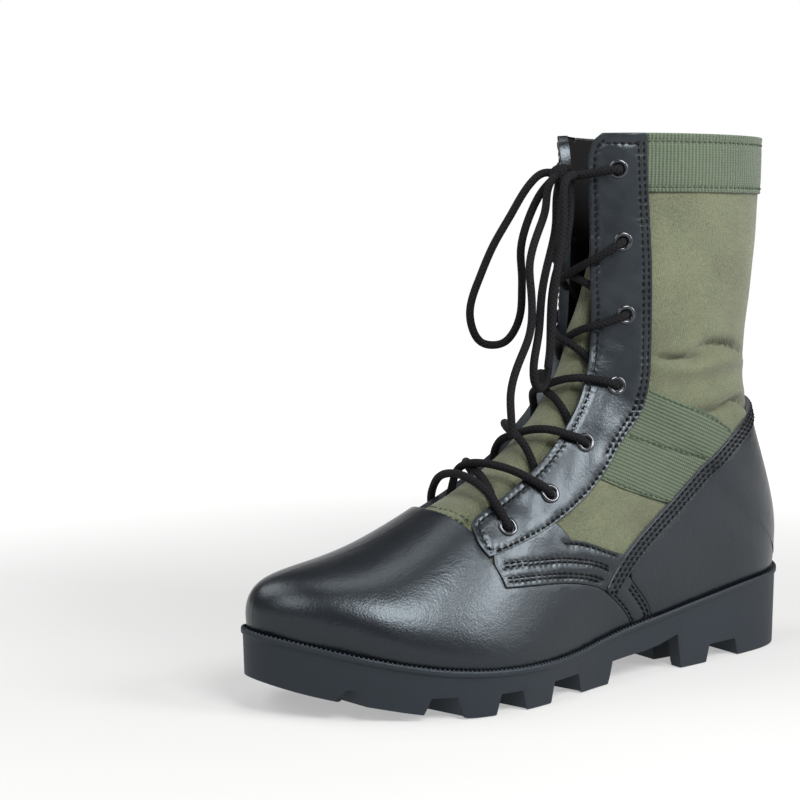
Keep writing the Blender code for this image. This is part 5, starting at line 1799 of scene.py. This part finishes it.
class BOOT_OT_webbing(bpy.types.Operator):
    """Collar band and ankle webbing"""
    bl_idname = "boot.webbing"
    bl_label = "Webbing"

    def execute(self, context):
        thick = sizes()["webbing"]
        mats = [webbing_green()]
        halves = []
        for side in (1, -1):
            low = band_edge(side, BAND_LOW)
            top = rows_of(np.linspace(1, low[0, 0], 60), TOP_ROW)
            front = cut(edges(side)["back"], side, lambda x, z: z > BAND_LOW)
            seam = rows_of(1.0, np.linspace(low[-1, 1], TOP_ROW, 20))
            rows = [band_edge(side, height) for height in BAND_ROWS]
            sew("green_thread", rows, side, thick - WEB_SINK)
            halves.append(half_sheet(side, [low, seam, top, front], 1.9, 0.6, rows, layout=collar_layout))

        def lip(points, side, tv):
            return 0.3 * np.exp(-((points[:, 2] - 256.0) / 1.5) ** 2) + 0.1 * swell(points, 30.0, 7)

        def over_edge(tv, side):
            return np.where(tv[:, 1] > TOP_ROW - 0.06, -WALL - 0.4, UNDERSIDE)
        ride(panel("webbing_collar", halves, thick, mats, rim=0.6, lift=lip, edge_low=over_edge,
                   deep=0.6), "webbing", "collar_band")
        strip_line = np.array(STRIP_TOP).T

        def clear(x, z):
            return z > np.interp(x, *strip_line)
        for side, word in ((1, "outer"), (-1, "inner")):
            e = edges(side)
            top = cut(e["web_top"], side, lambda x, z: x < -46.2 and clear(x, z))
            low = cut(e["web_low"], side, lambda x, z: x < -13.6 and clear(x, z))
            front = cut(e["back"], side, lambda x, z: 95.5 < z < 136 and x < -13.6)
            x_top, x_low = surface(*top[-1], side)[0], surface(*low[-1], side)[0]
            end = cut(e["strip"], side, lambda x, z: x_top < x < x_low)
            mid = cut(trace(WEB_MID, side), side, lambda x, z: x < -32.0 and clear(x, z))
            rows = [beside(top, side, 1.3), beside(low, side, -1.3), beside(mid, side, -1.6)]
            sew("green_thread", rows, side, thick - WEB_SINK)
            half = half_sheet(side, [top, end, low[::-1], front[::-1]], 1.5, 0.4, rows + [mid],
                              layout=ankle_layout)
            half["rows"] = half["rows"][:3]
            step = tree_of(surface(*even(mid, side, 0.4).T, side))

            def ledge(points, side, tv):
                far, _ = nearest(points, step)
                return -0.75 * np.exp(-(far / 0.75) ** 2)
            ride(panel("webbing_ankle_" + word, [half], thick, mats, rim=0.4, deep=0.5, lift=ledge),
                 "webbing", "ankle_webbing_" + word)
        return {"FINISHED"}


class BOOT_OT_tongue(bpy.types.Operator):
    """Canvas tongue with a sewn strip at the vamp"""
    bl_idname = "boot.tongue"
    bl_label = "Tongue"

    def execute(self, context):
        faces = []
        rows, cols = 130, 30
        vs = np.linspace(TONGUE_FOOT, TONGUE_TOP, rows)
        shares = np.linspace(-1, 1, 2 * cols + 1)
        grid = np.zeros((2, rows, len(shares), 3))
        flat_at = np.zeros((rows, len(shares), 2))
        for i, share in enumerate(shares):
            side = 1 if share >= 0 else -1
            edge = throat_t(np.minimum(vs, 16.3), side)
            t = abs(share) * (edge + 0.12)
            deep = np.clip((np.abs(share) * (edge + 0.12) / edge - 0.6) / 0.5, 0, 1)
            pts = surface(t, vs, side)
            lift = -WALL - 0.5 - TONGUE_TUCK * deep * deep * (3 - 2 * deep) + 0.35 * swell(pts, 26.0, 21)
            lift -= TONGUE_LEAN * np.clip((vs - 12.6) / 3, 0, 1)
            lift -= 0.9 * np.exp(-((share - 0.25 - 0.02 * vs) / 0.07) ** 2) * np.clip((vs - 8) / 3, 0, 1)
            nor = outward(t, vs, side)
            grid[0, :, i] = pts + nor * lift[:, None]
            grid[1, :, i] = pts + nor * (lift - TONGUE_THICK)[:, None]
            flat_at[:, i] = flat(np.stack([t * side, vs], 1), side)
        count = rows * len(shares)
        verts = grid.reshape(-1, 3)
        uvs = np.vstack([flat_at.reshape(-1, 2)] * 2)
        n = len(shares)
        for j in range(rows - 1):
            for i in range(n - 1):
                a, b, c, d = j * n + i, j * n + i + 1, (j + 1) * n + i + 1, (j + 1) * n + i
                faces += [(a, b, c, d), (a + count, d + count, c + count, b + count)]
        ring = [(0, i) for i in range(n)] + [(j, n - 1) for j in range(1, rows)]
        ring += [(rows - 1, i) for i in range(n - 2, -1, -1)] + [(j, 0) for j in range(rows - 2, 0, -1)]
        ring = [j * n + i for j, i in ring]
        faces += [(p, p + count, q + count, q) for p, q in zip(ring, ring[1:] + ring[:1])]
        tongue = turn_out(build("canvas_tongue", verts, faces, [canvas_olive()], uv=uvs))
        ride(tongue, "canvas", "tongue")
        for side in (1, -1):
            share = np.linspace(0.02, 0.97, 40)
            sew("green_thread", [rows_of(share * 0.238, v + 0.13 * share ** 1.3) for v in (5.13, 5.25)], side,
                -WALL - 0.45)
        return {"FINISHED"}


class BOOT_OT_stitches(bpy.types.Operator):
    """All sewn rows"""
    bl_idname = "boot.stitches"
    bl_label = "Stitches"

    def execute(self, context):
        size = sizes()
        for kind, rows in STITCHES.items():
            spots, axes, ways = [], [], []
            for path, nor in rows:
                dist = lengths(path)
                want = np.arange(size["pitch"] / 2, dist[-1], size["pitch"])
                spots.append(resample(path, dist, want))
                axes.append(resample(nor, dist, want))
                ways.append(resample(np.gradient(path, axis=0), dist, want))
            one = (size["pitch"] * STITCH_SHARE, size["thread"] * STITCH_FLAT, size["thread"])
            piece = scatter("stitches_" + kind, np.vstack(spots), np.vstack(axes), np.vstack(ways),
                            stitch_shape, *(measure * MM for measure in one), thread_of(kind))
            ride(piece, "cord")
        return {"FINISHED"}


class BOOT_OT_eyelets(bpy.types.Operator):
    """Eyelets and drain vents"""
    bl_idname = "boot.eyelets"
    bl_label = "Eyelets and vents"

    def execute(self, context):
        size = sizes()
        roll = (size["flange"] - size["hole"]) / 2
        places = [(side, t, v) for side in (1, -1) for v, t in EYELETS]
        piece = scatter("eyelets", *set_on(places, size["overlay"] + ROLL_RISE), eyelet_shape,
                        (size["hole"] + roll) * MM, roll * MM, EYELET_FLAT, enamel_black())
        nodes = [f"eyelet_{word}_{k + 1}" for word in ("outer", "inner") for k in range(len(EYELETS))]
        ride(piece, "enamel", *nodes)
        places = [(-1, t, v) for t, v in find(VENTS, -1)[0]]
        piece = scatter("drain_vents", *set_on(places, size["leather"] + ROLL_RISE), eyelet_shape,
                        VENT_RING * MM, VENT_ROLL * MM, VENT_FLAT, enamel_black())
        ride(piece, "enamel", "vent_1", "vent_2")
        return {"FINISHED"}


class BOOT_PT_panel(bpy.types.Panel):
    """Sizes, colours and steps of the boot"""
    bl_label = "Combat boot"
    bl_idname = "BOOT_PT_panel"
    bl_space_type = "VIEW_3D"
    bl_region_type = "UI"
    bl_category = "Boot"

    def draw(self, context):
        for group in (context.scene.boot_sizes, context.scene.boot_colours):
            for name in group.__annotations__:
                self.layout.prop(group, name)
        for step in STEPS:
            self.layout.operator(step.bl_idname)


STEPS = (BOOT_OT_stage, BOOT_OT_lace, BOOT_OT_sole, BOOT_OT_insole, BOOT_OT_shaft, BOOT_OT_leather,
         BOOT_OT_webbing, BOOT_OT_tongue, BOOT_OT_stitches, BOOT_OT_eyelets)
CLASSES = (BootSizes, BootColours, *STEPS, BOOT_PT_panel)


def register():
    """Add the boot's settings, steps and panel."""
    for one in CLASSES:
        bpy.utils.register_class(one)
    bpy.types.Scene.boot_sizes = PointerProperty(type=BootSizes)
    bpy.types.Scene.boot_colours = PointerProperty(type=BootColours)


def unregister():
    """Take them away again."""
    del bpy.types.Scene.boot_colours
    del bpy.types.Scene.boot_sizes
    for one in reversed(CLASSES):
        bpy.utils.unregister_class(one)


def main():
    """Build the boot step by step."""
    register()
    for step in STEPS:
        group, name = step.bl_idname.split(".")
        getattr(getattr(bpy.ops, group), name)()


if __name__ == "__main__":
    main()
